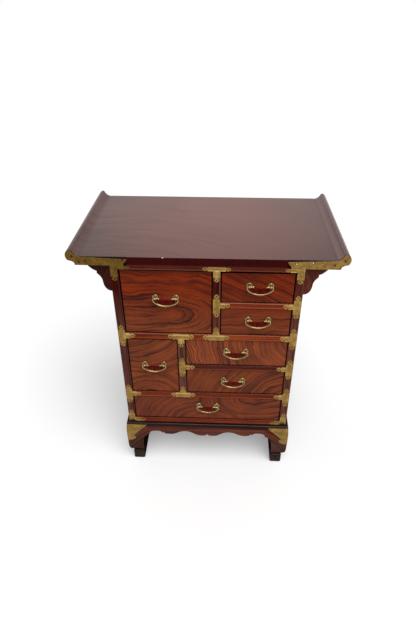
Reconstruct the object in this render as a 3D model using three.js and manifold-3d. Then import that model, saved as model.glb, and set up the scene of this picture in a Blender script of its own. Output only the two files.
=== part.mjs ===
// A Korean cabinet: seven drawers in a moulded frame, under a top with turned-up ends, on a low stand.
// Lengths are in millimetres. X runs to the right, Y to the back and Z up.
// The parts are placed from the front of the body at Y 0, and the whole is centred at the end.

import * as THREE from "three";
import { mergeVertices } from "three/addons/utils/BufferGeometryUtils.js";
import Module from "manifold-3d";

// Body and its frame
const bodyWidth = 540;
const bodyDepth = 410;
const stileWidth = 23.5;
const frameDepth = 24;
const dividerWidth = 23;
const partitionThickness = 16;
const railHeight = 20;
const longRailHeight = 22;
const topRailHeight = 18.5;
const shelfThickness = 12;
const tongueLength = 6;
const backThickness = 8;
const hollowDepth = 2.4;
const hollowArris = 2.6;
const arrisEase = 1.2;

// Drawer openings, from the bottom row to the top one
const bottomOpening = 101.5;
const lowerOpening = 100.5;
const upperLowOpening = 96;
const upperHighOpening = 103;
const lowerDividerFromMiddle = -79;
const upperDividerFromMiddle = 27;

// Top
const topWidth = 768;
const topThickness = 27;
const topOverhang = 11;
const endWidth = 42;
const endRollRadius = 20;
const endTipAngle = THREE.MathUtils.degToRad(84);
const endTipRoundAngle = THREE.MathUtils.degToRad(62);
const endCoveRoundAngle = THREE.MathUtils.degToRad(13);
const endRollStopAngle = THREE.MathUtils.degToRad(-43);
// across from the outermost point as a share of the end's width, and down as a share of the thickness
const endUnderStepShares = [[0.37, 0.556], [0.536, 0.722], [0.571, 1]];

// Brass plates on the ends of the top
const plateLength = 167.5;
const plateThickness = 1;
const plateInset = 1;
// along the plate from its inner end as a share of the top's thickness, and down as a share of it
const plateLobeShares = [[0.04, 0.04], [0, 0.2], [0.17, 0.54], [0.35, 0.7], [0.42, 1]];

// Brackets under the overhang
const bracketOverhangShare = 0.58;
const bracketHeight = 91;
const bracketThickness = 16;
const bracketSetback = 3;
// out from the side of the body as a share of the width, and down as a share of the height
const bracketEdgeShares = {
  foot: [0, 1],
  lowerCurve: [[0.2, 1], [0.35, 0.88], [0.36, 0.66]],
  upperCurve: [[0.37, 0.5], [0.5, 0.42], [0.58, 0.36]],
  step: [0.565, 0.29],
  lobe: [[0.8, 0.24], [1, 0]],
};

// Drawers
const frontThickness = 18;
const frontRecess = 4.5;
const frontSideClearance = 2.8;
const closeTopClearance = 2.5;
const frontLift = 1;
const runningGap = 0.3;
const boxSideThickness = 9;
const boxBottomThickness = 5;
const boxInset = 0.2;
const boxDrop = 14.5;
const boxRearClearance = 6;

// Handles
const postSpacing = 60;
const postReach = 10.5;
const shankRadius = 2.2;
const rosetteRadius = 9.2;
const rosetteHeight = 4;
// the radius as a share of the rosette's radius, and the height as a share of its height
const rosetteRimShares = [[1, 0], [1, 0.45], [0.9, 0.88], [0.74, 1], [0.5, 0.5]];
const neckRadius = 2.6;
const eyeRadius = 4.2;
const eyeThickness = 4;
const tailWidth = 5;
const tailThickness = 2;
const bailRodRadius = 1.9;
const bailReach = 6.5;
const bailBendDrop = 5;
const bailDrop = 25;
const bailTipReach = 10.5;
const bailTipRadius = 3;
const bailBeadRadius = 3.1;
const bailBeadSpacing = 6.6;
const bailDropRadius = 1.9;
const handleClearance = 0.3;
const bailFlatShare = 0.5;
const bailSideShare = 0.62;

// Stand
const standBoardThickness = 8;
const standBoardReach = 9;
const standNoseRadius = 3.5;
const legHeight = 138.5;
const kneeReach = 11;
const legTopReach = 8.6;
const ankleReach = 10.8;
const toeSetback = 3;
const ankleWidth = 53.7;
const earReach = 68;
const earThickness = 20;
const kneeHeightShare = 0.727;
const ankleHeightShare = 0.3;
const ankleInsideHeightShare = 0.2;
const toeBendHeightShare = 0.05;
const earBottomShare = 0.68;
const apronHeight = 45;
const apronThickness = 18;
const backApronHeight = 34;
// along from the middle as a share of the half length, and down as a share of the apron's height
const apronScallopShares = [
  { at: 0, down: 0.75, cusp: true },
  { at: 0.09, down: 1 },
  { at: 0.372, down: 0.56 },
  { at: 0.645, down: 0.91 },
  { at: 0.747, down: 0.71, cusp: true },
  { at: 0.778, down: 0.82, cusp: true },
  { at: 0.872, down: 0.6 },
  { at: 1, down: 0.97, cusp: true },
];
const runnerHeight = 41;
const runnerWidth = 39;
const runnerInset = 3;
const runnerReach = 7;
const runnerToeRadius = 6;

// Fineness of round stretches
const curveSteps = 8;
const roundSides = 10;
const ballSides = 6;
const ballRings = 4;
const rodSides = 6;
const rodSteps = 40;
const cutOverrun = 2;

// Places worked out from the sizes
const halfBody = bodyWidth / 2;
const halfTop = topWidth / 2;
const halfOpening = halfBody - stileWidth;
const bracketWidth = (halfTop - halfBody) * bracketOverhangShare;
const standTop = runnerHeight + legHeight;
const bodyBottom = standTop + standBoardThickness;
const bottomShelfTop = bodyBottom + railHeight;
const lowerShelfTop = bottomShelfTop + bottomOpening + longRailHeight;
const lowerRightShelfTop = lowerShelfTop + lowerOpening + railHeight;
const middleShelfTop = lowerRightShelfTop + lowerOpening + longRailHeight;
const upperRightShelfTop = middleShelfTop + upperLowOpening + railHeight;
const topRailBottom = upperRightShelfTop + upperHighOpening;
const bodyTop = topRailBottom + topRailHeight;
const topSurface = bodyTop + topThickness;
const topFront = -topOverhang;
const topRear = bodyDepth + topOverhang;
const backFace = bodyDepth - backThickness;
const upperDividerLeft = upperDividerFromMiddle - dividerWidth / 2;
const upperDividerRight = upperDividerFromMiddle + dividerWidth / 2;
const lowerDividerLeft = lowerDividerFromMiddle - dividerWidth / 2;
const lowerDividerRight = lowerDividerFromMiddle + dividerWidth / 2;

// Finishes
const lacqueredWood = new THREE.MeshStandardMaterial({ color: "#5a1d16", roughness: 0.35, metalness: 0 });
const drawerWood = new THREE.MeshStandardMaterial({ color: "#7a3220", roughness: 0.35, metalness: 0 });
const standWood = new THREE.MeshStandardMaterial({ color: "#4a2a24", roughness: 0.45, metalness: 0 });
const plainWood = new THREE.MeshStandardMaterial({ color: "#b98f61", roughness: 0.7, metalness: 0 });
const brass = new THREE.MeshStandardMaterial({ color: "#a8853f", roughness: 0.4, metalness: 1 });

const cabinet = new THREE.Group();
const wasm = await Module();
wasm.setup();

// Solids

function addPart(name, geometry, material) {
  const mesh = new THREE.Mesh(geometry, material);
  mesh.name = name;
  cabinet.add(mesh);
  return mesh;
}

function block([left, right], [front, back], [bottom, top]) {
  const geometry = new THREE.BoxGeometry(right - left, back - front, top - bottom);
  return geometry.translate((left + right) / 2, (front + back) / 2, (bottom + top) / 2);
}

function extruded(shape, depth) {
  return new THREE.ExtrudeGeometry(shape, { depth, bevelEnabled: false, curveSegments: curveSteps });
}

// An outline of Y and Z, run across from left to right.
function alongX(shape, left, right) {
  const turn = new THREE.Matrix4().makeBasis(
    new THREE.Vector3(0, 1, 0),
    new THREE.Vector3(0, 0, 1),
    new THREE.Vector3(1, 0, 0),
  );
  return extruded(shape, right - left).applyMatrix4(turn).translate(left, 0, 0);
}

// An outline of X and Z, run from front to back.
function alongY(shape, front, back) {
  return extruded(shape, back - front).rotateX(Math.PI / 2).translate(0, back, 0);
}

function solidOf(geometry) {
  const bare = geometry.clone();
  bare.deleteAttribute("normal");
  bare.deleteAttribute("uv");
  const merged = mergeVertices(bare);
  return new wasm.Manifold(
    new wasm.Mesh({
      numProp: 3,
      vertProperties: new Float32Array(merged.attributes.position.array),
      triVerts: new Uint32Array(merged.index.array),
    }),
  );
}

function geometryOf(solid) {
  const made = solid.getMesh();
  const geometry = new THREE.BufferGeometry();
  geometry.setAttribute("position", new THREE.BufferAttribute(made.vertProperties, 3));
  geometry.setIndex(new THREE.BufferAttribute(made.triVerts, 1));
  geometry.computeVertexNormals();
  return geometry;
}

function joined(...geometries) {
  return geometryOf(geometries.map(solidOf).reduce((whole, piece) => whole.add(piece)));
}

function cut(geometry, ...tools) {
  return geometryOf(tools.map(solidOf).reduce((whole, tool) => whole.subtract(tool), solidOf(geometry)));
}

// Frame members

// The section of a frame member: a shallow hollow runs along its face between two arrises, which are
// eased back towards the member's edges.
// Its width goes from near to far on the outline's second axis, and its depth on the first.
function hollowOutline(near, far, depth) {
  const middle = (near + far) / 2;
  const outline = new THREE.Shape();
  outline.moveTo(arrisEase, near);
  outline.lineTo(depth, near);
  outline.lineTo(depth, far);
  outline.lineTo(arrisEase, far);
  outline.lineTo(0, far - hollowArris);
  outline.quadraticCurveTo(hollowDepth * 2, middle, 0, near + hollowArris);
  outline.closePath();
  return outline;
}

function rail(left, right, bottom, top) {
  return alongX(hollowOutline(bottom, top, frameDepth), left, right);
}

// An upright member has the same section, turned so that its width lies on X.
function upright(left, right, bottom, top) {
  const turn = new THREE.Matrix4().makeBasis(
    new THREE.Vector3(0, 1, 0),
    new THREE.Vector3(-1, 0, 0),
    new THREE.Vector3(0, 0, 1),
  );
  const section = hollowOutline(-right, -left, frameDepth);
  return extruded(section, top - bottom).applyMatrix4(turn).translate(0, 0, bottom);
}

// A shelf's board has its front edge let into the back of its rail.
function shelf(left, right, bottom, top) {
  const board = block([left, right], [frameDepth - tongueLength, backFace], [top - shelfThickness, top]);
  return joined(rail(left, right, bottom, top), board);
}

// A partition's board is let into the back of its divider, and above the divider it reaches on behind
// the rail, to the board or top over the drawers.
function partition(middle, bottom, top, boardTop) {
  const half = partitionThickness / 2;
  const divider = upright(middle - dividerWidth / 2, middle + dividerWidth / 2, bottom, top);
  const board = block([middle - half, middle + half], [frameDepth, backFace], [bottom, boardTop]);
  const tongue = block([middle - half, middle + half], [frameDepth - tongueLength, backFace], [bottom, top]);
  return joined(divider, board, tongue);
}

function addBody() {
  const rightStile = upright(halfOpening, halfBody, bodyBottom, bodyTop);
  const rightSide = block([halfOpening, halfBody], [frameDepth, bodyDepth], [bodyBottom, bodyTop]);
  addPart("right_stile", rightStile, lacqueredWood);
  addPart("left_stile", rightStile, lacqueredWood).scale.x = -1;
  addPart("right_side", rightSide, lacqueredWood);
  addPart("left_side", rightSide, lacqueredWood).scale.x = -1;
  addPart(
    "back_panel",
    block([-halfOpening, halfOpening], [backFace, bodyDepth], [bodyBottom, bodyTop]),
    plainWood,
  );
  addPart("top_rail", rail(-halfOpening, halfOpening, topRailBottom, bodyTop), lacqueredWood);
  addPart("bottom_rail", rail(-halfOpening, halfOpening, bodyBottom, bottomShelfTop), lacqueredWood);
  addPart(
    "bottom_board",
    block(
      [-halfOpening, halfOpening],
      [frameDepth, backFace],
      [bottomShelfTop - shelfThickness, bottomShelfTop],
    ),
    plainWood,
  );
  addPart(
    "lower_shelf",
    shelf(-halfOpening, halfOpening, lowerShelfTop - longRailHeight, lowerShelfTop),
    lacqueredWood,
  );
  addPart(
    "middle_shelf",
    shelf(-halfOpening, halfOpening, middleShelfTop - longRailHeight, middleShelfTop),
    lacqueredWood,
  );
  addPart(
    "lower_right_shelf",
    shelf(lowerDividerRight, halfOpening, lowerRightShelfTop - railHeight, lowerRightShelfTop),
    lacqueredWood,
  );
  addPart(
    "upper_right_shelf",
    shelf(upperDividerRight, halfOpening, upperRightShelfTop - railHeight, upperRightShelfTop),
    lacqueredWood,
  );
  addPart(
    "lower_partition",
    partition(
      lowerDividerFromMiddle,
      lowerShelfTop,
      middleShelfTop - longRailHeight,
      middleShelfTop - shelfThickness,
    ),
    lacqueredWood,
  );
  addPart(
    "upper_partition",
    partition(upperDividerFromMiddle, middleShelfTop, topRailBottom, bodyTop),
    lacqueredWood,
  );
}

// Top with its turned-up ends

// Draws the end of the top: from where the flat surface stops, up the cove, over the rounded tip, round
// the roll and back to the underside.
function drawEnd(outline, inset) {
  const flatStop = halfTop - endWidth;
  const surface = topSurface - inset;
  const rollRadius = endRollRadius - inset;
  const rollMiddle = halfTop - endRollRadius;
  const tipX = rollMiddle + rollRadius * Math.cos(endTipAngle);
  const tipZ = topSurface + rollRadius * Math.sin(endTipAngle);
  const run = tipX - flatStop;
  const rise = tipZ - surface;
  const coveRadius = (run * run + rise * rise) / (rise * 2);
  const coveStop = Math.atan2(rise - coveRadius, run) - endCoveRoundAngle;
  const rollStartX = rollMiddle + rollRadius * Math.cos(endTipRoundAngle);
  const rollStartZ = topSurface + rollRadius * Math.sin(endTipRoundAngle);
  outline.absarc(flatStop, surface + coveRadius, coveRadius, -Math.PI / 2, coveStop, false);
  outline.quadraticCurveTo(tipX, tipZ, rollStartX, rollStartZ);
  outline.absarc(rollMiddle, topSurface, rollRadius, endTipRoundAngle, endRollStopAngle, true);
  for (const [acrossShare, downShare] of endUnderStepShares) {
    outline.lineTo(halfTop - acrossShare * endWidth, topSurface - downShare * topThickness);
  }
}

function endOutline() {
  const outline = new THREE.Shape();
  outline.moveTo(halfTop - endWidth, bodyTop);
  outline.lineTo(halfTop - endWidth, topSurface);
  drawEnd(outline, 0);
  outline.closePath();
  return outline;
}

function endPlateOutline() {
  const innerEnd = halfTop - plateLength;
  const lobe = plateLobeShares.map(([alongShare, downShare]) => [
    innerEnd + alongShare * topThickness,
    topSurface - plateInset - downShare * (topThickness - plateInset),
  ]);
  const outline = new THREE.Shape();
  outline.moveTo(...lobe[0]);
  drawEnd(outline, plateInset);
  for (const corner of lobe.slice(1).reverse()) outline.lineTo(...corner);
  outline.closePath();
  return outline;
}

// The bracket's edge rises from its foot in an S, steps once, and runs out in a lobe under the top.
function bracketOutline() {
  const outline = new THREE.Shape();
  const at = ([outShare, downShare]) => [
    halfBody + outShare * bracketWidth,
    bodyTop - downShare * bracketHeight,
  ];
  outline.moveTo(halfBody, bodyTop);
  outline.lineTo(...at(bracketEdgeShares.foot));
  outline.bezierCurveTo(...bracketEdgeShares.lowerCurve.flatMap(at));
  outline.bezierCurveTo(...bracketEdgeShares.upperCurve.flatMap(at));
  outline.lineTo(...at(bracketEdgeShares.step));
  outline.quadraticCurveTo(...bracketEdgeShares.lobe.flatMap(at));
  outline.closePath();
  return outline;
}

function addTop() {
  const flatHalf = halfTop - endWidth;
  const board = block([-flatHalf, flatHalf], [topFront, topRear], [bodyTop, topSurface]);
  addPart("top_board", board, lacqueredWood);
  const end = alongY(endOutline(), topFront, topRear);
  addPart("right_top_end", end, lacqueredWood);
  addPart("left_top_end", end, lacqueredWood).scale.x = -1;
  const plate = alongY(endPlateOutline(), topFront - plateThickness, topFront);
  addPart("right_top_plate", plate, brass);
  addPart("left_top_plate", plate, brass).scale.x = -1;
  const bracket = alongY(bracketOutline(), bracketSetback, bracketSetback + bracketThickness);
  addPart("right_bracket", bracket, lacqueredWood);
  addPart("left_bracket", bracket, lacqueredWood).scale.x = -1;
}

// Stand

// Heights in the leg go by shares of it, and distances outwards start at the side or front of the body.
function legPoint(outwards, heightShare) {
  return new THREE.Vector2(outwards, runnerHeight + heightShare * legHeight);
}

function drawLegOuterSide(outline) {
  const ankle = legPoint(ankleReach, ankleHeightShare);
  const knee = legPoint(kneeReach, kneeHeightShare);
  const top = legPoint(legTopReach, 1);
  const shinMiddle = (ankle.y + knee.y) / 2;
  outline.quadraticCurveTo(ankle.x, legPoint(ankleReach, toeBendHeightShare).y, ankle.x, ankle.y);
  outline.bezierCurveTo(ankle.x, shinMiddle, knee.x, shinMiddle, knee.x, knee.y);
  outline.quadraticCurveTo(knee.x, (knee.y + top.y) / 2, top.x, top.y);
}

function legOutline() {
  const toe = legPoint(-toeSetback, 0);
  const ankleInside = legPoint(ankleReach - ankleWidth, ankleInsideHeightShare);
  const ear = legPoint(-earReach, earBottomShare);
  const outline = new THREE.Shape();
  outline.moveTo(ankleInside.x, toe.y);
  outline.lineTo(toe.x, toe.y);
  drawLegOuterSide(outline);
  outline.lineTo(-earReach, standTop);
  outline.lineTo(ear.x, ear.y);
  outline.quadraticCurveTo(ankleInside.x, ear.y, ankleInside.x, ankleInside.y);
  outline.closePath();
  return outline;
}

// The apron swells with the legs, so its section follows their outer side from the top to below its lobes.
function apronSection(height) {
  const bottom = standTop - height - cutOverrun;
  const knee = legPoint(kneeReach, kneeHeightShare);
  const outline = new THREE.Shape();
  outline.moveTo(legTopReach - apronThickness, bottom);
  outline.lineTo(knee.x, bottom);
  outline.lineTo(knee.x, knee.y);
  outline.quadraticCurveTo(knee.x, (knee.y + standTop) / 2, legTopReach, standTop);
  outline.lineTo(legTopReach - apronThickness, standTop);
  outline.closePath();
  return outline;
}

// Draws the lower edge from one place to the next. It is level at a smooth place and has a sharp
// corner at a cusp.
function drawScallops(outline, places) {
  outline.moveTo(places[0].at, places[0].height);
  for (let i = 1; i < places.length; i += 1) {
    const from = places[i - 1];
    const to = places[i];
    const middle = (from.at + to.at) / 2;
    if (from.cusp && to.cusp) outline.lineTo(to.at, to.height);
    else if (from.cusp) outline.quadraticCurveTo(from.at, to.height, to.at, to.height);
    else if (to.cusp) outline.quadraticCurveTo(to.at, from.height, to.at, to.height);
    else outline.bezierCurveTo(middle, from.height, middle, to.height, to.at, to.height);
  }
}

function apronOutline(halfLength) {
  const rightSide = apronScallopShares.map((place) => ({
    at: place.at * halfLength,
    height: standTop - place.down * apronHeight,
    cusp: place.cusp,
  }));
  const leftSide = rightSide.slice(1).reverse().map((place) => ({ ...place, at: -place.at }));
  const outline = new THREE.Shape();
  drawScallops(outline, [...leftSide, ...rightSide]);
  outline.lineTo(halfLength, standTop);
  outline.lineTo(-halfLength, standTop);
  outline.closePath();
  return outline;
}

// An apron in its own place: its face looks to -Y from the line of the body, and its middle is at X 0.
function apron(halfLength) {
  const scalloped = alongY(apronOutline(halfLength), -kneeReach - cutOverrun, apronThickness);
  const swollen = alongX(apronSection(apronHeight), -halfLength, halfLength).rotateZ(Math.PI);
  return geometryOf(solidOf(scalloped).intersect(solidOf(swollen)));
}

// The front right leg has the same outline from the front and from the side, and is hollowed behind
// its two ears.
function leg() {
  const outer = kneeReach + cutOverrun;
  const inner = earReach + cutOverrun;
  const fromFront = alongY(legOutline(), -outer, inner).translate(halfBody, 0, 0);
  const fromSide = alongX(legOutline(), -outer, inner).rotateZ(Math.PI).translate(halfBody, 0, 0);
  const ankleInside = ankleWidth - ankleReach;
  const heights = [runnerHeight - cutOverrun, standTop + cutOverrun];
  const behindSideEar = block(
    [halfBody - inner, halfBody - earThickness],
    [ankleInside, inner],
    heights,
  );
  const behindFrontEar = block(
    [halfBody - inner, halfBody - ankleInside],
    [earThickness, inner],
    heights,
  );
  const whole = solidOf(fromFront).intersect(solidOf(fromSide));
  return geometryOf(whole.subtract(solidOf(behindSideEar)).subtract(solidOf(behindFrontEar)));
}

// A runner joins a front leg to the back leg behind it, and its ends are rounded off at the floor.
function runner() {
  const front = -runnerReach;
  const back = bodyDepth + runnerReach;
  const outline = new THREE.Shape();
  outline.moveTo(front + runnerToeRadius, 0);
  outline.lineTo(back - runnerToeRadius, 0);
  outline.quadraticCurveTo(back, 0, back, runnerToeRadius);
  outline.lineTo(back, runnerHeight);
  outline.lineTo(front, runnerHeight);
  outline.lineTo(front, runnerToeRadius);
  outline.quadraticCurveTo(front, 0, front + runnerToeRadius, 0);
  const outerSide = halfBody - runnerInset;
  return alongX(outline, outerSide - runnerWidth, outerSide);
}

function standBoard() {
  const halfWidth = halfBody + standBoardReach - standNoseRadius;
  const front = standNoseRadius - standBoardReach;
  const back = bodyDepth + standBoardReach - standNoseRadius;
  const outline = new THREE.Shape();
  outline.moveTo(-halfWidth, front);
  outline.lineTo(halfWidth, front);
  outline.lineTo(halfWidth, back);
  outline.lineTo(-halfWidth, back);
  outline.closePath();
  const board = new THREE.ExtrudeGeometry(outline, {
    depth: standBoardThickness - 2 * standNoseRadius,
    bevelThickness: standNoseRadius,
    bevelSize: standNoseRadius,
    bevelSegments: curveSteps,
  });
  return board.translate(0, 0, standTop + standNoseRadius);
}

function addStand() {
  addPart("stand_board", standBoard(), standWood);
  const halfFront = halfBody - earReach;
  const halfSide = bodyDepth / 2 - earReach;
  addPart("front_apron", apron(halfFront), standWood);
  addPart(
    "back_apron",
    block(
      [-halfFront, halfFront],
      [bodyDepth - apronThickness, bodyDepth],
      [standTop - backApronHeight, standTop],
    ),
    standWood,
  );
  const sideApron = apron(halfSide).rotateZ(Math.PI / 2).translate(halfBody, bodyDepth / 2, 0);
  const rightRunner = runner();
  const frontRightLeg = leg();
  addPart("right_apron", sideApron, standWood);
  addPart("left_apron", sideApron, standWood).scale.x = -1;
  addPart("right_runner", rightRunner, standWood);
  addPart("left_runner", rightRunner, standWood).scale.x = -1;
  for (const [side, across] of [["right", 1], ["left", -1]]) {
    addPart("front_" + side + "_leg", frontRightLeg, standWood).scale.x = across;
    const backLeg = addPart("back_" + side + "_leg", frontRightLeg, standWood);
    backLeg.scale.set(across, -1, 1);
    backLeg.position.y = bodyDepth;
  }
}

// Drawers

// A handle's place is given from the middle of its opening, as shares of the opening's width and height.
// Three of the fronts have worn or shrunk, and leave a wider gap over them.
const drawers = [
  {
    name: "upper_left",
    left: -halfOpening,
    right: upperDividerLeft,
    floor: middleShelfTop,
    ceiling: topRailBottom,
    topClearance: 4.5,
    handleAcrossShare: -0.012,
    handleUpShare: 0.089,
  },
  {
    name: "first_right",
    left: upperDividerRight,
    right: halfOpening,
    floor: upperRightShelfTop,
    ceiling: topRailBottom,
    topClearance: 7,
    handleAcrossShare: 0.03,
    handleUpShare: 0.068,
  },
  {
    name: "second_right",
    left: upperDividerRight,
    right: halfOpening,
    floor: middleShelfTop,
    ceiling: upperRightShelfTop - railHeight,
    topClearance: closeTopClearance,
    handleAcrossShare: 0.033,
    handleUpShare: 0.104,
  },
  {
    name: "lower_left",
    left: -halfOpening,
    right: lowerDividerLeft,
    floor: lowerShelfTop,
    ceiling: middleShelfTop - longRailHeight,
    topClearance: 5.5,
    handleAcrossShare: 0.009,
    handleUpShare: 0.041,
  },
  {
    name: "third_right",
    left: lowerDividerRight,
    right: halfOpening,
    floor: lowerRightShelfTop,
    ceiling: middleShelfTop - longRailHeight,
    topClearance: closeTopClearance,
    handleAcrossShare: -0.003,
    handleUpShare: 0.092,
  },
  {
    name: "fourth_right",
    left: lowerDividerRight,
    right: halfOpening,
    floor: lowerShelfTop,
    ceiling: lowerRightShelfTop - railHeight,
    topClearance: closeTopClearance,
    handleAcrossShare: -0.02,
    handleUpShare: 0.09,
  },
  {
    name: "bottom",
    left: -halfOpening,
    right: halfOpening,
    floor: bottomShelfTop,
    ceiling: lowerShelfTop - longRailHeight,
    topClearance: closeTopClearance,
    handleAcrossShare: 0.004,
    handleUpShare: 0.13,
  },
];

const frontFace = frontRecess;
const frontBack = frontRecess + frontThickness;
const handleAxis = frontFace - postReach;

function handlePlace(drawer) {
  const width = drawer.right - drawer.left;
  const height = drawer.ceiling - drawer.floor;
  const across = drawer.left + width / 2 + drawer.handleAcrossShare * width;
  const up = drawer.floor + height / 2 + drawer.handleUpShare * height;
  return new THREE.Vector3(across, 0, up);
}

// A round bar from front to back, through the middle of a post.
function roundBar(radius, front, back) {
  const bar = new THREE.CylinderGeometry(radius, radius, back - front, roundSides);
  return bar.translate(0, (front + back) / 2, 0);
}

function drawerFront(drawer) {
  const panel = block(
    [drawer.left + frontSideClearance, drawer.right - frontSideClearance],
    [frontFace, frontBack],
    [drawer.floor + frontLift, drawer.ceiling - drawer.topClearance],
  );
  const place = handlePlace(drawer);
  const holes = [-1, 1].map((side) =>
    roundBar(shankRadius + handleClearance, frontFace - cutOverrun, frontBack + cutOverrun)
      .translate(place.x + (side * postSpacing) / 2, 0, place.z),
  );
  return cut(panel, ...holes);
}

// The box behind the front: two sides, a back and a bottom, open at the top.
function drawerBox(drawer) {
  const left = drawer.left + frontSideClearance + boxInset;
  const right = drawer.right - frontSideClearance - boxInset;
  const back = backFace - boxRearClearance;
  const bottom = drawer.floor + runningGap;
  const top = drawer.ceiling - boxDrop;
  const hollow = block(
    [left + boxSideThickness, right - boxSideThickness],
    [frontBack - cutOverrun, back - boxSideThickness],
    [bottom + boxBottomThickness, top + cutOverrun],
  );
  return cut(block([left, right], [frontBack, back], [bottom, top]), hollow);
}

// One post, outwards from the face of the drawer: shank, dished rosette, neck and eye.
function post() {
  const tailBack = frontThickness + handleClearance + tailThickness;
  const rim = rosetteRimShares.map(
    ([outShare, upShare]) => new THREE.Vector2(outShare * rosetteRadius, upShare * rosetteHeight),
  );
  const profile = [
    new THREE.Vector2(0, -tailBack),
    new THREE.Vector2(shankRadius, -tailBack),
    new THREE.Vector2(shankRadius, 0),
    ...rim,
    new THREE.Vector2(neckRadius, rosetteHeight / 2),
    new THREE.Vector2(neckRadius, postReach),
    new THREE.Vector2(0, postReach),
  ];
  const turned = new THREE.LatheGeometry(profile, roundSides).rotateX(Math.PI).translate(0, frontFace, 0);
  const eye = new THREE.CylinderGeometry(eyeRadius, eyeRadius, eyeThickness, roundSides);
  return joined(turned, eye.rotateZ(Math.PI / 2).translate(0, handleAxis, 0));
}

// The two posts of a handle. Behind the front their tails are bent flat towards each other and meet.
function handlePosts() {
  const right = post().translate(postSpacing / 2, 0, 0);
  const left = post().translate(-postSpacing / 2, 0, 0);
  const tails = block(
    [-postSpacing / 2, postSpacing / 2],
    [frontBack + handleClearance, frontBack + handleClearance + tailThickness],
    [-tailWidth / 2, tailWidth / 2],
  );
  const holeRadius = bailRodRadius + handleClearance;
  const hole = new THREE.CylinderGeometry(holeRadius, holeRadius, postSpacing * 2, roundSides);
  return cut(joined(right, left, tails), hole.rotateZ(Math.PI / 2).translate(0, handleAxis, 0));
}

// The bail's line from the middle of its drop to its right tip, which lies past the eye on the inner side.
function bailHalf() {
  const widest = postSpacing / 2 + bailReach;
  const bendStart = postSpacing / 2 + eyeThickness / 2 + handleClearance;
  const at = (x, z) => new THREE.Vector3(x, handleAxis, z);
  const half = new THREE.CurvePath();
  half.add(
    new THREE.CubicBezierCurve3(
      at(0, -bailDrop),
      at(bailFlatShare * widest, -bailDrop),
      at(widest, -bailSideShare * bailDrop),
      at(widest, -bailBendDrop),
    ),
  );
  half.add(new THREE.QuadraticBezierCurve3(at(widest, -bailBendDrop), at(widest, 0), at(bendStart, 0)));
  half.add(new THREE.LineCurve3(at(bendStart, 0), at(postSpacing / 2 - bailTipReach, 0)));
  return half;
}

function bail() {
  const half = bailHalf().getSpacedPoints(rodSteps / 2);
  const otherHalf = half.slice(1).reverse().map((point) => new THREE.Vector3(-point.x, point.y, point.z));
  const line = new THREE.CatmullRomCurve3([...otherHalf, ...half]);
  const section = new THREE.Shape(
    Array.from({ length: rodSides }, (_, side) => {
      const turn = (side * 2 * Math.PI) / rodSides;
      return new THREE.Vector2(bailRodRadius * Math.cos(turn), bailRodRadius * Math.sin(turn));
    }),
  );
  const rod = new THREE.ExtrudeGeometry(section, { steps: rodSteps, extrudePath: line });
  const ball = (radius, x, z) =>
    new THREE.SphereGeometry(radius, ballSides, ballRings).translate(x, handleAxis, z);
  const tip = postSpacing / 2 - bailTipReach;
  const beads = [-1, 0, 1].map((step) => ball(bailBeadRadius, step * bailBeadSpacing, -bailDrop));
  const tips = [-1, 1].map((side) => ball(bailTipRadius, side * tip, 0));
  return joined(rod, ...beads, ...tips, ball(bailDropRadius, 0, -bailDrop - bailBeadRadius));
}

function addDrawers() {
  const posts = handlePosts();
  const hangingBail = bail();
  for (const drawer of drawers) {
    const place = handlePlace(drawer);
    addPart(drawer.name + "_front", drawerFront(drawer), drawerWood);
    addPart(drawer.name + "_box", drawerBox(drawer), plainWood);
    addPart(drawer.name + "_posts", posts, brass).position.copy(place);
    addPart(drawer.name + "_bail", hangingBail, brass).position.copy(place);
  }
}

addStand();
addBody();
addTop();
addDrawers();
cabinet.position.y = -(topFront - plateThickness + topRear) / 2;

export default cabinet;
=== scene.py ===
# %% [markdown]
# # A Korean cabinet of drawers
#
# The real cabinet is a lacquered wooden case on a low stand. Its frame members have a shallow hollow
# moulded along them, its top turns up and rolls over at both ends, and sheet brass is nailed over
# every joint. The solids come from the CAD model, already in their places and in metres, so this
# script gives them their finishes, softens their edges, and adds the brass that is too thin for CAD.

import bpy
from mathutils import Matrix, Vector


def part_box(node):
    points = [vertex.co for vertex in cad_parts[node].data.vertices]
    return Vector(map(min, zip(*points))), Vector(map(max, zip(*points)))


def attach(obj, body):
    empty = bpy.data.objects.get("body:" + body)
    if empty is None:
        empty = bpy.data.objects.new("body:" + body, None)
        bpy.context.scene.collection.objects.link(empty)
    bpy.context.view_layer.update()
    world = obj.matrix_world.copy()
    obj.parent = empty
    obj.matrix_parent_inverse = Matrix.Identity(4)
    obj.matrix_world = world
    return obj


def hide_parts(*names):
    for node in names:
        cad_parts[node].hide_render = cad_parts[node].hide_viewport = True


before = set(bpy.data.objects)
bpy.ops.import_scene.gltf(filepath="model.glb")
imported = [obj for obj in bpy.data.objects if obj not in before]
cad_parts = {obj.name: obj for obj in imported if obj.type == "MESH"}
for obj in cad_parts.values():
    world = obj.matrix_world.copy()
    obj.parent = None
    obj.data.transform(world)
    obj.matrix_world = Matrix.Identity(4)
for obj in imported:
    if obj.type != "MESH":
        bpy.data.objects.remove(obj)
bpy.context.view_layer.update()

import math

import bmesh
import bpy
import numpy as np
from mathutils import Matrix, Vector

MM = 0.001
ACROSS, UPWARDS = 0, 2
BODY_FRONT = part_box("left_stile")[0].y
BODY_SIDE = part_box("right_stile")[1].x
DRAWER_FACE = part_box("upper_left_front")[0].y


def turned(*degrees):
    return tuple(math.radians(angle) for angle in degrees)


def span(node, axis):
    """Where a solid starts and ends along an axis."""
    return [corner[axis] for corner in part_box(node)]


def in_scene(name, data):
    made = bpy.data.objects.new(name, data)
    bpy.context.scene.collection.objects.link(made)
    return made


print("solids loaded:", len(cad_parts))

# %% [markdown]
# ## The camera
#
# The eye is at a standing person's height, close in front, and looks down at the cabinet, so its sides
# draw together towards the floor. The lens is given in millimetres, for a picture that is 36 mm high.

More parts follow.
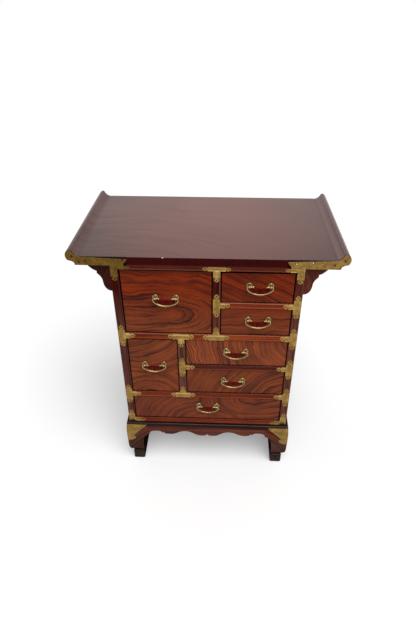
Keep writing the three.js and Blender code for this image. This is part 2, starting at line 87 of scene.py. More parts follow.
# %% Place the camera
EYE = (0.0464, -1.3601, 1.4677)
EYE_TURN = turned(54.95, 0, 2.16)
PICTURE_HEIGHT = 36
LENS = 28.05
camera_data = bpy.data.cameras.new("camera")
camera_data.sensor_width = PICTURE_HEIGHT
camera_data.lens = LENS
camera = in_scene("camera", camera_data)
camera.location = EYE
camera.rotation_euler = EYE_TURN
bpy.context.scene.camera = camera
print("camera at", EYE)

# %% [markdown]
# ## Writing node trees as plain sums
#
# A shader is a tree of nodes, and setting each one by hand hides what it works out. So one small class
# wraps a socket and lets Python's own signs add the Math nodes. The same builder makes any other node,
# for materials and for Geometry Nodes alike.

# %% A builder for node trees
class Wire:
    """One output of a node. Sums with it add Math nodes to its tree."""

    def __init__(self, builder, socket):
        self.builder = builder
        self.socket = socket

    def maths(self, operation, *others):
        inputs = dict(enumerate([self, *others]))
        return self.builder.node("ShaderNodeMath", {"operation": operation}, inputs)

    def __add__(self, other):
        return self.maths("ADD", other)

    __radd__ = __add__

    def __mul__(self, other):
        return self.maths("MULTIPLY", other)

    __rmul__ = __mul__

    def __sub__(self, other):
        return self.maths("SUBTRACT", other)

    def __rsub__(self, other):
        return self * -1 + other

    def __truediv__(self, other):
        return self.maths("DIVIDE", other)

    def __pow__(self, other):
        return self.maths("POWER", other)

    def __abs__(self):
        return self.maths("ABSOLUTE")

    def limited(self):
        """No less than 0 and no more than 1."""
        return self.maths("MAXIMUM", 0.0).maths("MINIMUM", 1.0)

    def share(self, low, high):
        """0 up to low, 1 from high on, and even between."""
        return ((self - low) / (high - low)).limited()


class Builder:
    """Adds nodes to one tree."""

    def __init__(self, tree):
        self.tree = tree

    def node(self, kind, settings=None, inputs=None, output=0):
        made = self.tree.nodes.new(kind)
        for name, value in (settings or {}).items():
            if name == "stops":
                self.set_stops(made.color_ramp, value)
            else:
                setattr(made, name, value)
        for name, value in (inputs or {}).items():
            self.feed(made.inputs[name], value)
        return Wire(self, made.outputs[output])

    def feed(self, socket, value):
        if isinstance(value, Wire):
            self.tree.links.new(value.socket, socket)
        else:
            socket.default_value = value

    def set_stops(self, ramp, stops):
        ramp.interpolation = "EASE"
        while len(ramp.elements) < len(stops):
            ramp.elements.new(1)
        for element, (position, level) in zip(ramp.elements, stops):
            element.position = position
            element.color = (level, level, level, 1)

    def vector(self, x, y, z):
        return self.node("ShaderNodeCombineXYZ", inputs={0: x, 1: y, 2: z})


print("a builder for node trees is ready")

# %% [markdown]
# ## Materials
#
# What is the same all over a surface is set on the shader's own socket, and only what changes goes
# through nodes. Colours are given as a screen shows them. Patterns lie on Object coordinates, so they
# stay with the piece. A place is seen by someone who stands at a centre and is turned, so that the
# wood's grain runs along their X.

# %% A finish while it is being made
def from_screen(red, green, blue):
    """A colour as a screen shows it, from 0 to 255, as the light values that a shader works with."""
    shares = [value / 255 for value in (red, green, blue)]
    light = [s / 12.92 if s <= 0.04045 else ((s + 0.055) / 1.055) ** 2.4 for s in shares]
    return (*light, 1)


def tone(light, dark):
    """The two colours between which a finish varies."""
    return from_screen(*light), from_screen(*dark)


class Finish(Builder):
    """A material with a Principled shader, and the slot of the record that it belongs to."""

    def __init__(self, name, slot, **constants):
        self.material = bpy.data.materials.new(name)
        self.material.use_nodes = True
        self.slot = slot
        super().__init__(self.material.node_tree)
        self.shader = self.tree.nodes["Principled BSDF"]
        self.give(**constants)

    def give(self, **sockets):
        """Sets sockets of the shader, to a constant or to what changes over the surface."""
        for socket, value in sockets.items():
            self.feed(self.shader.inputs[socket.replace("_", " ")], value)

    def place(self, centre=(0, 0, 0), turn=(0, 0, 0)):
        """Where a point is, seen from centre by someone who is turned so."""
        here = self.node("ShaderNodeTexCoord", output="Object")
        inputs = {"Vector": here, "Location": centre, "Rotation": turn}
        return self.node("ShaderNodeMapping", {"vector_type": "TEXTURE"}, inputs)

    def axes(self, vector):
        made = self.tree.nodes.new("ShaderNodeSeparateXYZ")
        self.feed(made.inputs[0], vector)
        return [Wire(self, output) for output in made.outputs]

    def where(self, *seen):
        """The three lengths of the way from centre to a point."""
        return self.axes(self.place(*seen))

    def facing(self):
        """The three shares of the way that the surface faces."""
        return self.axes(self.node("ShaderNodeNewGeometry", output="Normal"))

    def tilt(self):
        """0 where the surface faces straight along an axis, and up to 0.4 where it is turned away."""
        x, y, z = [abs(share) for share in self.facing()]
        return 1.0 - x.maths("MAXIMUM", y).maths("MAXIMUM", z)

    def noise(self, place, scale, detail=2.0):
        """Soft random values around 0.5."""
        inputs = {"Vector": place, "Scale": scale, "Detail": detail}
        return self.node("ShaderNodeTexNoise", inputs=inputs)

    def ramp(self, value, stops):
        return self.node("ShaderNodeValToRGB", {"stops": stops}, {0: value})

    def mix(self, share, first, second):
        settings = {"data_type": "RGBA"}
        return self.node("ShaderNodeMix", settings, {0: share, 6: first, 7: second}, output=2)

    def relief(self, height, depth):
        """Raises and lowers the surface by a pattern, without changing its shape."""
        inputs = {"Height": height, "Distance": depth, "Strength": 1.0}
        self.give(Normal=self.node("ShaderNodeBump", inputs=inputs))


print("half bright on a screen is", round(from_screen(128, 128, 128)[0], 3), "of the light")

# %% [markdown]
# ## The figure of the wood
#
# A tree's yearly rings are nested tubes, and a saw cut through them shows long arches. So the pattern
# is a distance from a centre line, stretched along the grain, cut into rings, and pushed about by
# noise. Counted in rings, it gives soft bands, thin lines, sharp late wood and fine pores. Behind its
# centre a figure can be drawn out further, which is its tail, and a second centre makes two figures
# meet.

# %% Rings, bands and pores
FRONT_TURN = turned(90, 0, 0)
DEEP_SHARE = 0.6
DRIFT = 18 * MM
SWAY = 9 * MM
BAND_STOPS = [(0, 0.0), (0.34, 0.0), (0.5, 0.35), (0.64, 1.0), (1, 1.0)]
RING_STOPS = [(0, 0.0), (0.45, 0.08), (0.78, 0.75), (0.88, 1.0), (0.96, 0.25), (1, 0.0)]
PORE_STOPS = [(0, 0.0), (0.52, 0.0), (0.68, 1.0), (1, 1.0)]


def turned_in_front(degrees):
    """The turn for a board that is seen from the front, with its grain rising to the right."""
    return turned(90, -degrees, 0)


class Wood(Finish):
    """A finish with a wood's figure in it, patches of wear, and a relief of late wood and pores."""

    def __init__(self, name, slot, figure, patch_scale, pore_depth, **constants):
        super().__init__(name, slot, IOR=1.5, **constants)
        self.bands, self.thin, self.late, self.pores = self.lines(*self.rings(**figure))
        self.patches = self.noise(self.place(), patch_scale, 3.0)
        self.relief((self.late + self.pores) * -1.0, pore_depth)

    def reach(self, centre, turn, stretch, tail):
        """How far out a point is in a log whose rings are drawn out along the grain."""
        along, across, deep = self.where(centre, turn)
        ahead = along.maths("MAXIMUM", 0.0) / stretch
        behind = along.maths("MINIMUM", 0.0) / tail
        return ((ahead + behind) ** 2.0 + across**2.0 + (deep * DEEP_SHARE) ** 2.0) ** 0.5

    def rings(self, centre, turn, spacing, stretch, tail=None, wander=1.0, second=None, shift=0.0):
        """How far out a point is, counted in rings, and its place along the grain."""
        place = self.place(centre, turn)
        distance = self.reach(centre, turn, stretch, tail or stretch)
        if second is not None:
            distance = distance.maths("MINIMUM", self.reach(second, turn, 1.0, 1.0) + shift)
        drift = self.noise(place, 9.0, 1.0) - 0.5
        sway = self.noise(place, 26.0, 2.0) - 0.5
        distance = distance + drift * (DRIFT * wander) + sway * (SWAY * wander)
        return distance / spacing, self.axes(place)[0]

    def lines(self, count, along):
        """Soft bands, thin lines, sharp late wood and pores, each from 0 to 1."""
        bands = self.ramp(self.noise(self.vector(count * 0.8, along * 3.0, 0.0), 1.0, 1.0), BAND_STOPS)
        thin = self.ramp(self.noise(self.vector(count * 3.0, along * 7.0, 3.0), 1.0, 2.0), BAND_STOPS)
        strength = self.noise(self.vector(count * 0.3, along * 6.0, 8.0), 1.0, 2.0) * 4.0 - 1.5
        late = self.ramp((count + bands * 0.7).maths("FRACT"), RING_STOPS) * strength.limited()
        pores = self.ramp(self.noise(self.vector(along * 70.0, count * 12.0, 0.0), 1.0, 1.0), PORE_STOPS)
        return bands, thin, late, pores


print("stops of a ring:", len(RING_STOPS))

# %% [markdown]
# ## Lacquered wood
#
# A lacquer keeps the figure and gives it a tone, from light to dark, with painted shade that darkens
# faces that look up and lightens faces that look down. One tone gives way to another over a height or a
# width: the fronts and uprights are painted darker and redder higher up, as shade under the top, and the
# legs are darker lower down. The gloss is a clear coat that only turned edges get, because flat faces of
# this age are dull from cloths and hands.

# %% A lacquer over a figure
# painted shade: above these heights the fronts and uprights take darker, redder tones, as under the top
RED_HEIGHTS = (0.58, 0.73)
PORE_DEPTH = 0.04 * MM


def lacquered(
    name, tones, figure, slot="frame_wood", second=None, between=RED_HEIGHTS, axis=UPWARDS,
    depths=(1.0, 1.0), sides=(-1, 1), coat=0.5, sheen=0.06, marks=(),
):
    """Wood with a coloured lacquer: figure says how its rings lie, and depths how strongly they show.

    A second pair of tones takes over between two places along an axis, the depth goes over from one to
    the other between the sides, and each mark changes the colour once more.
    """
    wood = Wood(
        name + " lacquer", slot, figure, patch_scale=14.0, pore_depth=PORE_DEPTH,
        Specular_IOR_Level=sheen, Coat_Roughness=0.22,
    )
    place = wood.where()
    at_left, at_right = depths
    depth = place[ACROSS].share(*sides) * (at_right - at_left) + at_left
    lines = wood.bands * 0.42 + wood.thin * 0.56 + wood.late * 0.5 + wood.pores * 0.24 - 0.66
    # painted shade: darker where the surface faces up, lighter where it faces down
    painted_slope_shade = wood.facing()[UPWARDS] * 0.6
    shade = (lines * depth + (wood.patches - 0.5) * 0.8 + painted_slope_shade + 0.5).limited()
    body = wood.mix(shade, *tones)
    if second is not None:
        body = wood.mix(place[axis].share(*between), body, wood.mix(shade, *second))
    for mark in marks:
        body = mark(wood, body)
    gloss = (wood.tilt() * 5.0 - 0.2).limited() * coat
    wood.give(Base_Color=body, Coat_Weight=gloss, Roughness=wood.patches * 0.12 + 0.24)
    return wood


print("tones change between the heights", RED_HEIGHTS)

# %% [markdown]
# ## Marks of painted light and shade
#
# Pale lines of painted highlight lie along the arrises and the legs' lower edges. The gaps round the
# drawers, the inner faces of the legs and the wood just under a ledge are painted nearly black, as
# shade. Each mark is a small function that a lacquer calls with its colour so far, and that mixes one
# more colour in by place.

# %% Pale arrises and dark corners
HOLLOW_DEPTH = 2.4 * MM
HOLLOW_ARRIS = 2.6 * MM
ARRIS_EASE = 1.2 * MM
ARRIS_REACH = 1.3 * MM


def painted_gap_shade(face):
    """Painted shade: what faces into the gaps round the drawers, behind the face, is nearly black."""

    def marked(wood, body):
        x, y, z = wood.where()
        sideways = (1.6 - abs(wood.facing()[1]) * 4.0).limited()
        behind = ((y - face) / MM - 1.0).limited()
        within = ((BODY_SIDE - abs(x)) / MM - 1.0).limited()
        return wood.mix(sideways * behind * within * 0.85, body, from_screen(18, 9, 7))

    return marked


def lit_arris(node, axis, colour, shares):
    """Painted highlights: pale lines along a member's arrises, its lower or left one and its upper or right
    one.
    """
    low, high = span(node, axis)

    def marked(wood, body):
        here = wood.where()[axis]
        for place, share in zip((low + HOLLOW_ARRIS, high - HOLLOW_ARRIS), shares):
            near = (1.5 - abs(here - place) / ARRIS_REACH).limited()
            body = wood.mix(near * share, body, from_screen(*colour))
        return body

    return marked


def painted_light_between(none_at, full_at, strength, colour):
    """Painted light or shade that grows from nothing at one height to all its strength at another."""

    def marked(wood, body):
        share = wood.where()[UPWARDS].share(none_at, full_at)
        return wood.mix(share * strength, body, from_screen(*colour))

    return marked


def painted_inner_shade(wood, body):
    """Painted shade: a leg or a runner is nearly black where it looks inwards, under the cabinet."""
    inwards = (wood.where()[ACROSS] * wood.facing()[ACROSS] * -14.0 - 0.5).limited()
    return wood.mix(inwards, body, from_screen(24, 14, 12))


print("hollow of a frame member, deep and wide:", HOLLOW_DEPTH, HOLLOW_ARRIS)

# %% [markdown]
# ## Lacquers of the sides and the stand
#
# Frame members and stand have a straight grain, which is a figure with a far centre and a long
# stretch. The side boards show one tall arch each. A leg's grain runs on in an arch from the apron's,
# so its rings have their middle under the apron.

# %% Figures and finishes of the sides and the stand
STRAIGHT = {"spacing": 7 * MM, "stretch": 14.0, "wander": 0.5}
frame_figure = {"centre": (0, 0, -0.3), "turn": FRONT_TURN, **STRAIGHT}
upright_figure = {"centre": (0.3, 0, 0.4), "turn": turned_in_front(90), **STRAIGHT}
side_figure = {
    "centre": (0, 0.05, -0.15), "turn": turned(90, -90, 90), "spacing": 11 * MM, "stretch": 6.0,
}
LEG_BOTTOM, LEG_TOP = span("front_left_leg", UPWARDS)
TOE_HIGHLIGHT_HEIGHT = 6 * MM
RUNNER_SHADE = 9 * MM
BOARD_SHADE_START = 13 * MM
BOARD_SHADE_END = 4 * MM
LEG_TONES = tone((96, 65, 56), (50, 32, 28))
# painted highlight: a pale line along the lower edge of each leg
painted_toe_highlight = painted_light_between(LEG_BOTTOM + TOE_HIGHLIGHT_HEIGHT, LEG_BOTTOM, 0.8, (118, 100, 92))
# painted shadow on the runner just under each leg
painted_shadow_under_leg = painted_light_between(LEG_BOTTOM - RUNNER_SHADE, LEG_BOTTOM, 0.9, (10, 6, 5))
# painted shadow on the stand just under its board
painted_shadow_under_board = painted_light_between(LEG_TOP - BOARD_SHADE_START, LEG_TOP - BOARD_SHADE_END, 0.85, (20, 10, 9))
stand_look = {
    "slot": "stand_wood", "second": tone((116, 60, 44), (56, 25, 19)), "between": (0.10, 0.155),
}

side_wood = lacquered("side", tone((116, 58, 42), (60, 26, 20)), side_figure)
shaded_side_wood = lacquered("left bracket", tone((72, 24, 16), (36, 10, 8)), side_figure)
stand_wood = lacquered(
    "stand", LEG_TONES, frame_figure, depths=(1.7, 1.7), marks=(painted_shadow_under_board,), **stand_look
)
runner_wood = lacquered(
    "runner", tone((66, 53, 47), (41, 31, 27)), side_figure, slot="stand_wood", sheen=0.0,
    marks=(painted_inner_shade, painted_shadow_under_leg),
)
ledge_wood = lacquered("ledge", tone((54, 31, 25), (28, 13, 11)), frame_figure, slot="stand_wood")
leg_woods = {}
for side, arch_middle in (("left", -0.10), ("right", 0.10)):
    figure = {
        "centre": (arch_middle, 0, -0.02), "turn": FRONT_TURN, "spacing": 8 * MM, "stretch": 1.0,
    }
    leg_woods[side] = lacquered(
        side + " leg", LEG_TONES, figure, depths=(1.2, 1.2), sheen=0.0,
        marks=(painted_inner_shade, painted_toe_highlight, painted_shadow_under_board), **stand_look
    )
print("the legs stand between the heights", LEG_BOTTOM, LEG_TOP)

# %% [markdown]
# ## The top's own lacquer
#
# The top is polished more than any other face, and seen from a standing height it mirrors the bright
# room at a low angle, which greys its red-brown. That grey is also painted into its colour as painted
# reflection: lighter in the middle, darker towards its ends, and palest on the right end. Its figure
# is clear at the left. Its edges are painted a very dark red, as shade, so the finish reads which way
# the surface faces. A painted grey reflection lies along the lower arris, painted shade lies along the
# brass caps, and one chip shows in the front edge.

# %% The top's finish
TOP_FRONT, TOP_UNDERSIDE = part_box("top_board")[0].yz
TOP_REFLECTION_BAND = 4 * MM
PAINTED_SHEEN_MIDDLE = (-0.01, 0.04, 0.0)
PAINTED_SHEEN_REACH = 0.43
CAP_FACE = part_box("right_top_plate")[0].y
CAP_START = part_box("right_top_plate")[0].x
CAP_SHADE_DEPTH = 5 * MM
CHIP_PLACE = (-0.119, -0.2155, 0.8385)
CHIP_SIZE = 3 * MM
TOP_PORE_DEPTH = 0.03 * MM
top_figure = {
    "centre": (-0.24, -0.30, 0.83), "turn": (0, 0, 0), "spacing": 9 * MM, "stretch": 1.7, "wander": 1.8,
}


def top_lacquer():
    wood = Wood(
        "top lacquer", "frame_wood", top_figure, patch_scale=3.0, pore_depth=TOP_PORE_DEPTH,
        Specular_IOR_Level=0.0, Coat_Roughness=0.16,
    )
    x, y, z = wood.where(PAINTED_SHEEN_MIDDLE)
    clear = (0.3 - x * 1.7).limited() * 0.8 + 0.2
    lines = wood.bands * 0.5 + wood.late * 0.55 + wood.thin * 0.4
    shade = (lines * clear + (wood.patches - 0.5) * 0.9).limited()
    # painted reflection and shade: the flat is lighter in a broad middle and darker towards its rims
    warm = wood.mix(shade, *tone((110, 63, 54), (66, 40, 35)))
    plain = wood.mix(shade, *tone((68, 36, 28), (38, 18, 14)))
    flat = wood.mix(((x * x + y * y) / PAINTED_SHEEN_REACH**2).limited(), warm, plain)
    # painted shade: faces that don't look up are a very dark red
    edge = wood.mix(wood.late * 0.6 + wood.pores * 0.2, *tone((66, 18, 19), (38, 8, 9)))
    # painted reflection: the turned-up ends are greyed, and palest at the right
    risen = wood.mix(shade, *tone((96, 68, 64), (72, 52, 50)))
    risen = wood.mix((x * 2.0 + 0.16).limited(), risen, from_screen(116, 90, 88))
    facing_up = wood.facing()[UPWARDS]
    upward = (facing_up * 5.0 - 0.3).limited()
    level = (facing_up * 12.0 - 10.8).limited()
    body = wood.mix(upward, edge, wood.mix(level, risen, flat))
    x, y, z = wood.where()
    # painted reflection: a greyish band along the lower front arris
    arris_reflection = 1.0 - ((z - TOP_UNDERSIDE) / TOP_REFLECTION_BAND).limited()
    body = wood.mix(arris_reflection**0.5 * 0.8, body, from_screen(86, 56, 48))
    # painted shade: a dark band on the top along the upper edge of the brass caps
    over_cap = ((abs(x) - CAP_START) / MM).limited()
    in_front = ((TOP_FRONT + CAP_SHADE_DEPTH - y) / (0.5 * CAP_SHADE_DEPTH)).limited()
    body = wood.mix(over_cap * in_front * 0.8, body, from_screen(26, 8, 9))
    x, y, z = wood.where(CHIP_PLACE)
    chip = ((1.0 - (x * x + y * y + z * z) ** 0.5 / CHIP_SIZE) * 3.0).limited()
    body = wood.mix(chip, body, from_screen(206, 176, 164))
    gloss = level * 0.38 + upward * 0.5
    wood.give(Base_Color=body, Coat_Weight=gloss, Roughness=wood.patches * 0.14 + 0.24)
    return wood


top_wood = top_lacquer()
print("the top's underside is at", TOP_UNDERSIDE)

# %% [markdown]
# ## Bare wood
#
# Nobody lacquers the inside of a drawer. The boxes, the bottom board and the back are pale softwood
# with a quiet grain, which only shows when a drawer is pulled out or the cabinet is turned round.

# %% Bare wood for the unseen pieces
BARE_PORE_DEPTH = 0.08 * MM


def bare(name, figure, tones):
    wood = Wood(
        name, "inside_wood", figure, patch_scale=8.0, pore_depth=BARE_PORE_DEPTH, Specular_IOR_Level=0.2
    )
    lines = wood.bands * 0.25 + wood.late * 0.35 + wood.thin * 0.2 + wood.pores * 0.2
    shade = (lines + (wood.patches - 0.5) * 0.5).limited()
    wood.give(Base_Color=wood.mix(shade, *tones), Roughness=wood.patches * 0.2 + 0.55)
    return wood


box_figure = {"centre": (0, 0, -0.25), "turn": turned(0, 0, 90), "spacing": 8 * MM, "stretch": 12.0}
box_wood = bare("drawer box wood", box_figure, tone((206, 174, 130), (158, 118, 78)))
back_wood = bare("back panel wood", side_figure, tone((166, 118, 76), (112, 72, 44)))
print("bare woods:", box_wood.material.name, "and", back_wood.material.name)

# %% [markdown]
# ## Brass
#
# Sheet brass that has been handled for years is warm and uneven: browner where it is dull, yellower
# where it is rubbed. All finishes here are full metals, and only their colour, roughness and a little
# relief change.

# %% Plain brass finishes
SHEET_GRIT = 0.05 * MM
JOINT_GRIT = 0.04 * MM
CAST_GRIT = 0.02 * MM
WEAR_STOPS = [(0, 0.0), (0.32, 0.0), (0.68, 1.0), (1, 1.0)]


def brass(name, tones, smooth, rough, grit, tarnish_and_shade=None, slot="plate_brass"):
    metal = Finish(name, slot, Metallic=1.0)
    bright, dull = tones
    broad = metal.noise(metal.place(), 60.0, 4.0)
    close = metal.noise(metal.place(), 420.0, 3.0)
    wear = metal.ramp(broad * 0.45 + close * 0.55, WEAR_STOPS)
    body = metal.mix(wear, dull, bright)
    if tarnish_and_shade is not None:
        body = tarnish_and_shade(metal, body)
    metal.give(Base_Color=body, Roughness=(1.0 - wear) * (rough - smooth) + smooth)
    metal.relief(close, grit)
    return metal


AGED_TONES = tone((164, 130, 72), (106, 81, 40))
# painted shade: a darker copy of the aged brass for the plates at the left, which the lamp lights less
SHADED_BRASS_TONES = tone((122, 94, 42), (80, 60, 24))
plate_brass = brass("aged sheet brass", AGED_TONES, 0.34, 0.5, SHEET_GRIT)
shaded_brass = brass("dull sheet brass", SHADED_BRASS_TONES, 0.38, 0.52, SHEET_GRIT)
nail_brass = brass("nail brass", tone((250, 232, 190), (214, 186, 130)), 0.3, 0.42, CAST_GRIT)
old_nail_brass = brass("old nail brass", tone((62, 45, 22), (34, 24, 12)), 0.3, 0.45, CAST_GRIT)
print("plain brasses made: 4")

# %% [markdown]
# ## Where polish doesn't reach, and painted shade
#
# A cloth passes over hollows and round nail heads. So the plates over the joints are dull in their
# hollow, and have a painted reflection: browner where they face up and paler where they face down. The
# caps of the top have a ring of grime round each nail, and the posts of the pulls have painted shade in
# their dish and at their neck.

# %% Tarnished and shaded brass finishes
PLATE_THICKNESS = 1.1 * MM
NAIL_GRIME = 2.1 * MM
POST_REACH = 14.6 * MM
# how dark the painted shade on a post is at each share of its reach: in its dish, on its rim, at its neck
# and on its eye
POST_SHADE_STOPS = [
    (0, 0.2), (0.21, 0.2), (0.26, 0.0), (0.29, 0.0), (0.33, 0.8), (0.48, 0.8), (0.58, 0.0), (1, 0.0),
]
# across and up, in millimetres
BRIGHT_CAP_NAILS = [(241, 826.5), (284, 831)]
DARK_CAP_NAILS = [(342, 825), (368, 838), (-365, 838), (-347, 821), (-330, 826), (-229, 830)]


def hollow_tarnish_and_painted_sheen(metal, body):
    behind = (metal.where()[1] - (BODY_FRONT - PLATE_THICKNESS)) / HOLLOW_DEPTH
    body = metal.mix(behind.limited() * 0.35, body, from_screen(118, 88, 38))
    # painted reflection: browner where the sheet faces up, paler where it faces down
    upwards = metal.facing()[UPWARDS]
    body = metal.mix((upwards * 2.4).limited() * 0.6, body, from_screen(150, 104, 46))
    return metal.mix((upwards * -2.4).limited() * 0.7, body, from_screen(238, 208, 142))


def grimy_round_nails(metal, body):
    for x, z in BRIGHT_CAP_NAILS + DARK_CAP_NAILS:
        across, back, up = metal.where((x * MM, CAP_FACE, z * MM))
        near = (2.0 - (across * across + up * up) ** 0.5 / NAIL_GRIME).limited()
        body = metal.mix(near * 0.85, body, from_screen(44, 30, 14))
    return body


def painted_post_shade(metal, body):
    forward = (DRAWER_FACE - metal.where()[1]) / POST_REACH
    return metal.mix(metal.ramp(forward, POST_SHADE_STOPS), body, from_screen(58, 44, 24))


joint_brass = brass(
    "sheet brass over the joints", tone((190, 153, 87), (106, 80, 37)), 0.3, 0.42, JOINT_GRIT,
    tarnish_and_shade=hollow_tarnish_and_painted_sheen,
)
cap_brass = brass(
    "sheet brass on the top", AGED_TONES, 0.34, 0.5, SHEET_GRIT, tarnish_and_shade=grimy_round_nails
)
shaded_cap_brass = brass(
    "dull sheet brass on the top", SHADED_BRASS_TONES, 0.38, 0.52, SHEET_GRIT, tarnish_and_shade=grimy_round_nails
)
handle_brass = brass(
    "cast brass", tone((186, 164, 116), (126, 104, 62)), 0.22, 0.36, CAST_GRIT,
    tarnish_and_shade=painted_post_shade, slot="handle_brass",
)
print("rings of grime on the caps:", len(BRIGHT_CAP_NAILS + DARK_CAP_NAILS))

# %% [markdown]
# ## Softened edges
#
# No lacquered edge is knife sharp, and the thin bright line that a rounded arris shows is much of what
# makes wood look real. So each CAD mesh is copied, its triangles are joined and its flat faces made
# whole, and the edges that turn sharply are marked for a small bevel. The copy stands for its solid,
# which stays in the model for contact.

# %% A helper that copies a solid and rounds its edges
MERGE_REACH = 0.01 * MM
FLAT_ANGLE = math.radians(0.6)
CREASE = math.radians(28)
BOARD_EDGE = 0.8 * MM


def whole_shape(node):
    """A CAD node's mesh with its triangles joined, and its flat faces whole."""
    shape = bmesh.new()
    shape.from_mesh(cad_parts[node].data)
    bmesh.ops.remove_doubles(shape, verts=shape.verts, dist=MERGE_REACH)
    bmesh.ops.dissolve_limit(
        shape, angle_limit=FLAT_ANGLE, verts=shape.verts, edges=shape.edges, delimit={"NORMAL"}
    )
    return shape


def smooth_faces(shape):
    for face in shape.faces:
        face.smooth = True


def mesh_of(shape, name):
    mesh = bpy.data.meshes.new(name)
    shape.to_mesh(mesh)
    shape.free()
    return mesh


def new_piece(name, mesh, finish):
    """An object in the scene that has one finish."""
    mesh.materials.clear()
    mesh.materials.append(finish.material)
    return in_scene(name, mesh)


def settle(piece, body="cabinet", node=None):
    """Says which body a piece rides on, and hides the solid that it stands for."""
    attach(piece, body)
    if node is not None:
        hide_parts(node)


def rounded(piece, width, segments=2, angle=None):
    bevel = piece.modifiers.new("soft edges", "BEVEL")
    bevel.width = width
    bevel.segments = segments
    bevel.harden_normals = True
    if angle is None:
        bevel.limit_method = "WEIGHT"
    else:
        bevel.limit_method = "ANGLE"
        bevel.angle_limit = angle


def is_sharp(edge, crease):
    return len(edge.link_faces) == 2 and edge.calc_face_angle(0) > crease


def soften(
    node, finish, width=BOARD_EDGE, crease=CREASE, hairline=None, body="cabinet", reshape=None, segments=2
):
    """A copy of a CAD node with soft edges and a finish. A hairline is a sharp edge that stays so."""
    shape = whole_shape(node)
    if reshape is not None:
        reshape(shape)
    weight = shape.edges.layers.float.new("bevel_weight_edge")
    for edge in shape.edges:
        sharp = is_sharp(edge, crease)
        edge.smooth = not sharp
        edge[weight] = 1.0 if sharp and not (hairline and hairline(edge)) else 0.0
    smooth_faces(shape)
    piece = new_piece(node + "_soft", mesh_of(shape, node + "_soft"), finish)
    rounded(piece, width, segments)
    settle(piece, body, node)


print("an edge counts as sharp past", round(math.degrees(CREASE)), "degrees")

# %% [markdown]
# ## The case
#
# Each frame member has painted highlights along its arrises and is darker in its hollow. A bend counts
# as an edge at a smaller angle here, so that the line between the two stays crisp. The middle rail is
# more orange towards its right, and the uprights are painted darker and redder higher up, as shade under
# the top.

# %% Finish the case and its frame
MOULDED = math.radians(17)
FRAME_EDGE = 0.6 * MM
SOFTWOOD_EDGE = 0.5 * MM
BRACKET_EDGE = 1.2 * MM
# each rail's tones, the colour of its pale lines of painted highlight, and how strong the lower and the
# upper line are
RAILS = {
    "top_rail": (tone((166, 62, 28), (98, 29, 13)), (134, 76, 56), (0.9, 0.2)),
    "upper_right_shelf": (tone((150, 56, 20), (92, 26, 8)), (172, 110, 82), (0.3, 1.0)),
    "middle_shelf": (tone((138, 50, 18), (84, 24, 8)), (164, 94, 54), (0.5, 1.0)),
    "lower_right_shelf": (tone((98, 36, 20), (56, 15, 8)), (130, 66, 44), (0.8, 0.2)),
    "lower_shelf": (tone((136, 50, 24), (80, 24, 10)), (146, 78, 46), (0.8, 0.2)),
    "bottom_rail": (tone((142, 58, 31), (84, 26, 13)), (120, 56, 36), (0.4, 0.2)),
}
# the middle rail's tones towards its right, brighter and more orange
ORANGE_RIGHT_TONES = tone((170, 74, 30), (112, 38, 14))
ORANGE_RIGHT_PLACES = (-0.04, 0.05)
# each upright's tones below and above the heights at which the case turns red, the upper pair painted
# shade under the top, and the colour of its lines of painted highlight
UPRIGHTS = {
    "left_stile": (tone((110, 65, 56), (55, 32, 29)), tone((78, 22, 17), (36, 8, 6)), (72, 42, 37)),
    "right_stile": (tone((120, 71, 59), (62, 35, 31)), tone((98, 46, 37), (50, 18, 15)), (110, 74, 62)),
    "upper_partition": (tone((124, 66, 50), (62, 31, 25)), tone((86, 26, 21), (40, 11, 9)), (112, 82, 74)),
    "lower_partition": (tone((120, 74, 61), (58, 34, 30)), tone((120, 74, 61), (58, 34, 30)), (108, 70, 60)),
}
UPRIGHT_LINE_SHARES = (0.1, 1.0)
UPRIGHT_LOOK = {"depths": (1.2, 1.2), "coat": 0.12, "sheen": 0.0}


def finish_member(node, tones, figure, arrises, **look):
    marks = (lit_arris(node, *arrises), painted_gap_shade(BODY_FRONT))
    soften(node, lacquered(node, tones, figure, marks=marks, **look), width=FRAME_EDGE, crease=MOULDED)


for node, (tones, line, shares) in RAILS.items():
    second = ORANGE_RIGHT_TONES if node == "middle_shelf" else None
    arrises = (UPWARDS, line, shares)
    finish_member(node, tones, frame_figure, arrises, second=second, between=ORANGE_RIGHT_PLACES, axis=ACROSS)
for node, (tones, high_tones, line) in UPRIGHTS.items():
    arrises = (ACROSS, line, UPRIGHT_LINE_SHARES)
    finish_member(node, tones, upright_figure, arrises, second=high_tones, **UPRIGHT_LOOK)
for node in ("left_side", "right_side"):
    soften(node, side_wood)
for node in ("back_panel", "bottom_board"):
    soften(node, back_wood, width=SOFTWOOD_EDGE)
soften("left_bracket", shaded_side_wood, width=BRACKET_EDGE)
soften("right_bracket", side_wood, width=BRACKET_EDGE)
print("frame members finished:", len(RAILS) + len(UPRIGHTS))

# %% [markdown]
# ## The top
#
# The flat board and its two turned-up ends meet flush, with only a hairline between them, so edges in
# that joint's plane are left alone. The face of the brass caps is set back a little, so that the nail
# heads on it reach no further than the solid did.

# %% Finish the top and its brass caps
FLAT_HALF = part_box("top_board")[1].x
TOP_EDGE = 1.6 * MM
CAP_EDGE = 0.2 * MM
CAP_SETBACK = 0.5 * MM
PLANE_REACH = 0.1 * MM


def in_end_joint(edge):
    return all(abs(abs(vertex.co.x) - FLAT_HALF) < PLANE_REACH for vertex in edge.verts)


def set_back(shape):
    for vertex in shape.verts:
        if vertex.co.y < CAP_FACE + PLANE_REACH:
            vertex.co.y += CAP_SETBACK


for node in ("top_board", "left_top_end", "right_top_end"):
    soften(node, top_wood, width=TOP_EDGE, hairline=in_end_joint)
# the left cap gets the darker brass of painted shade
soften("left_top_plate", shaded_cap_brass, width=CAP_EDGE, reshape=set_back)
soften("right_top_plate", cap_brass, width=CAP_EDGE, reshape=set_back)
print("half width of the flat top:", FLAT_HALF)

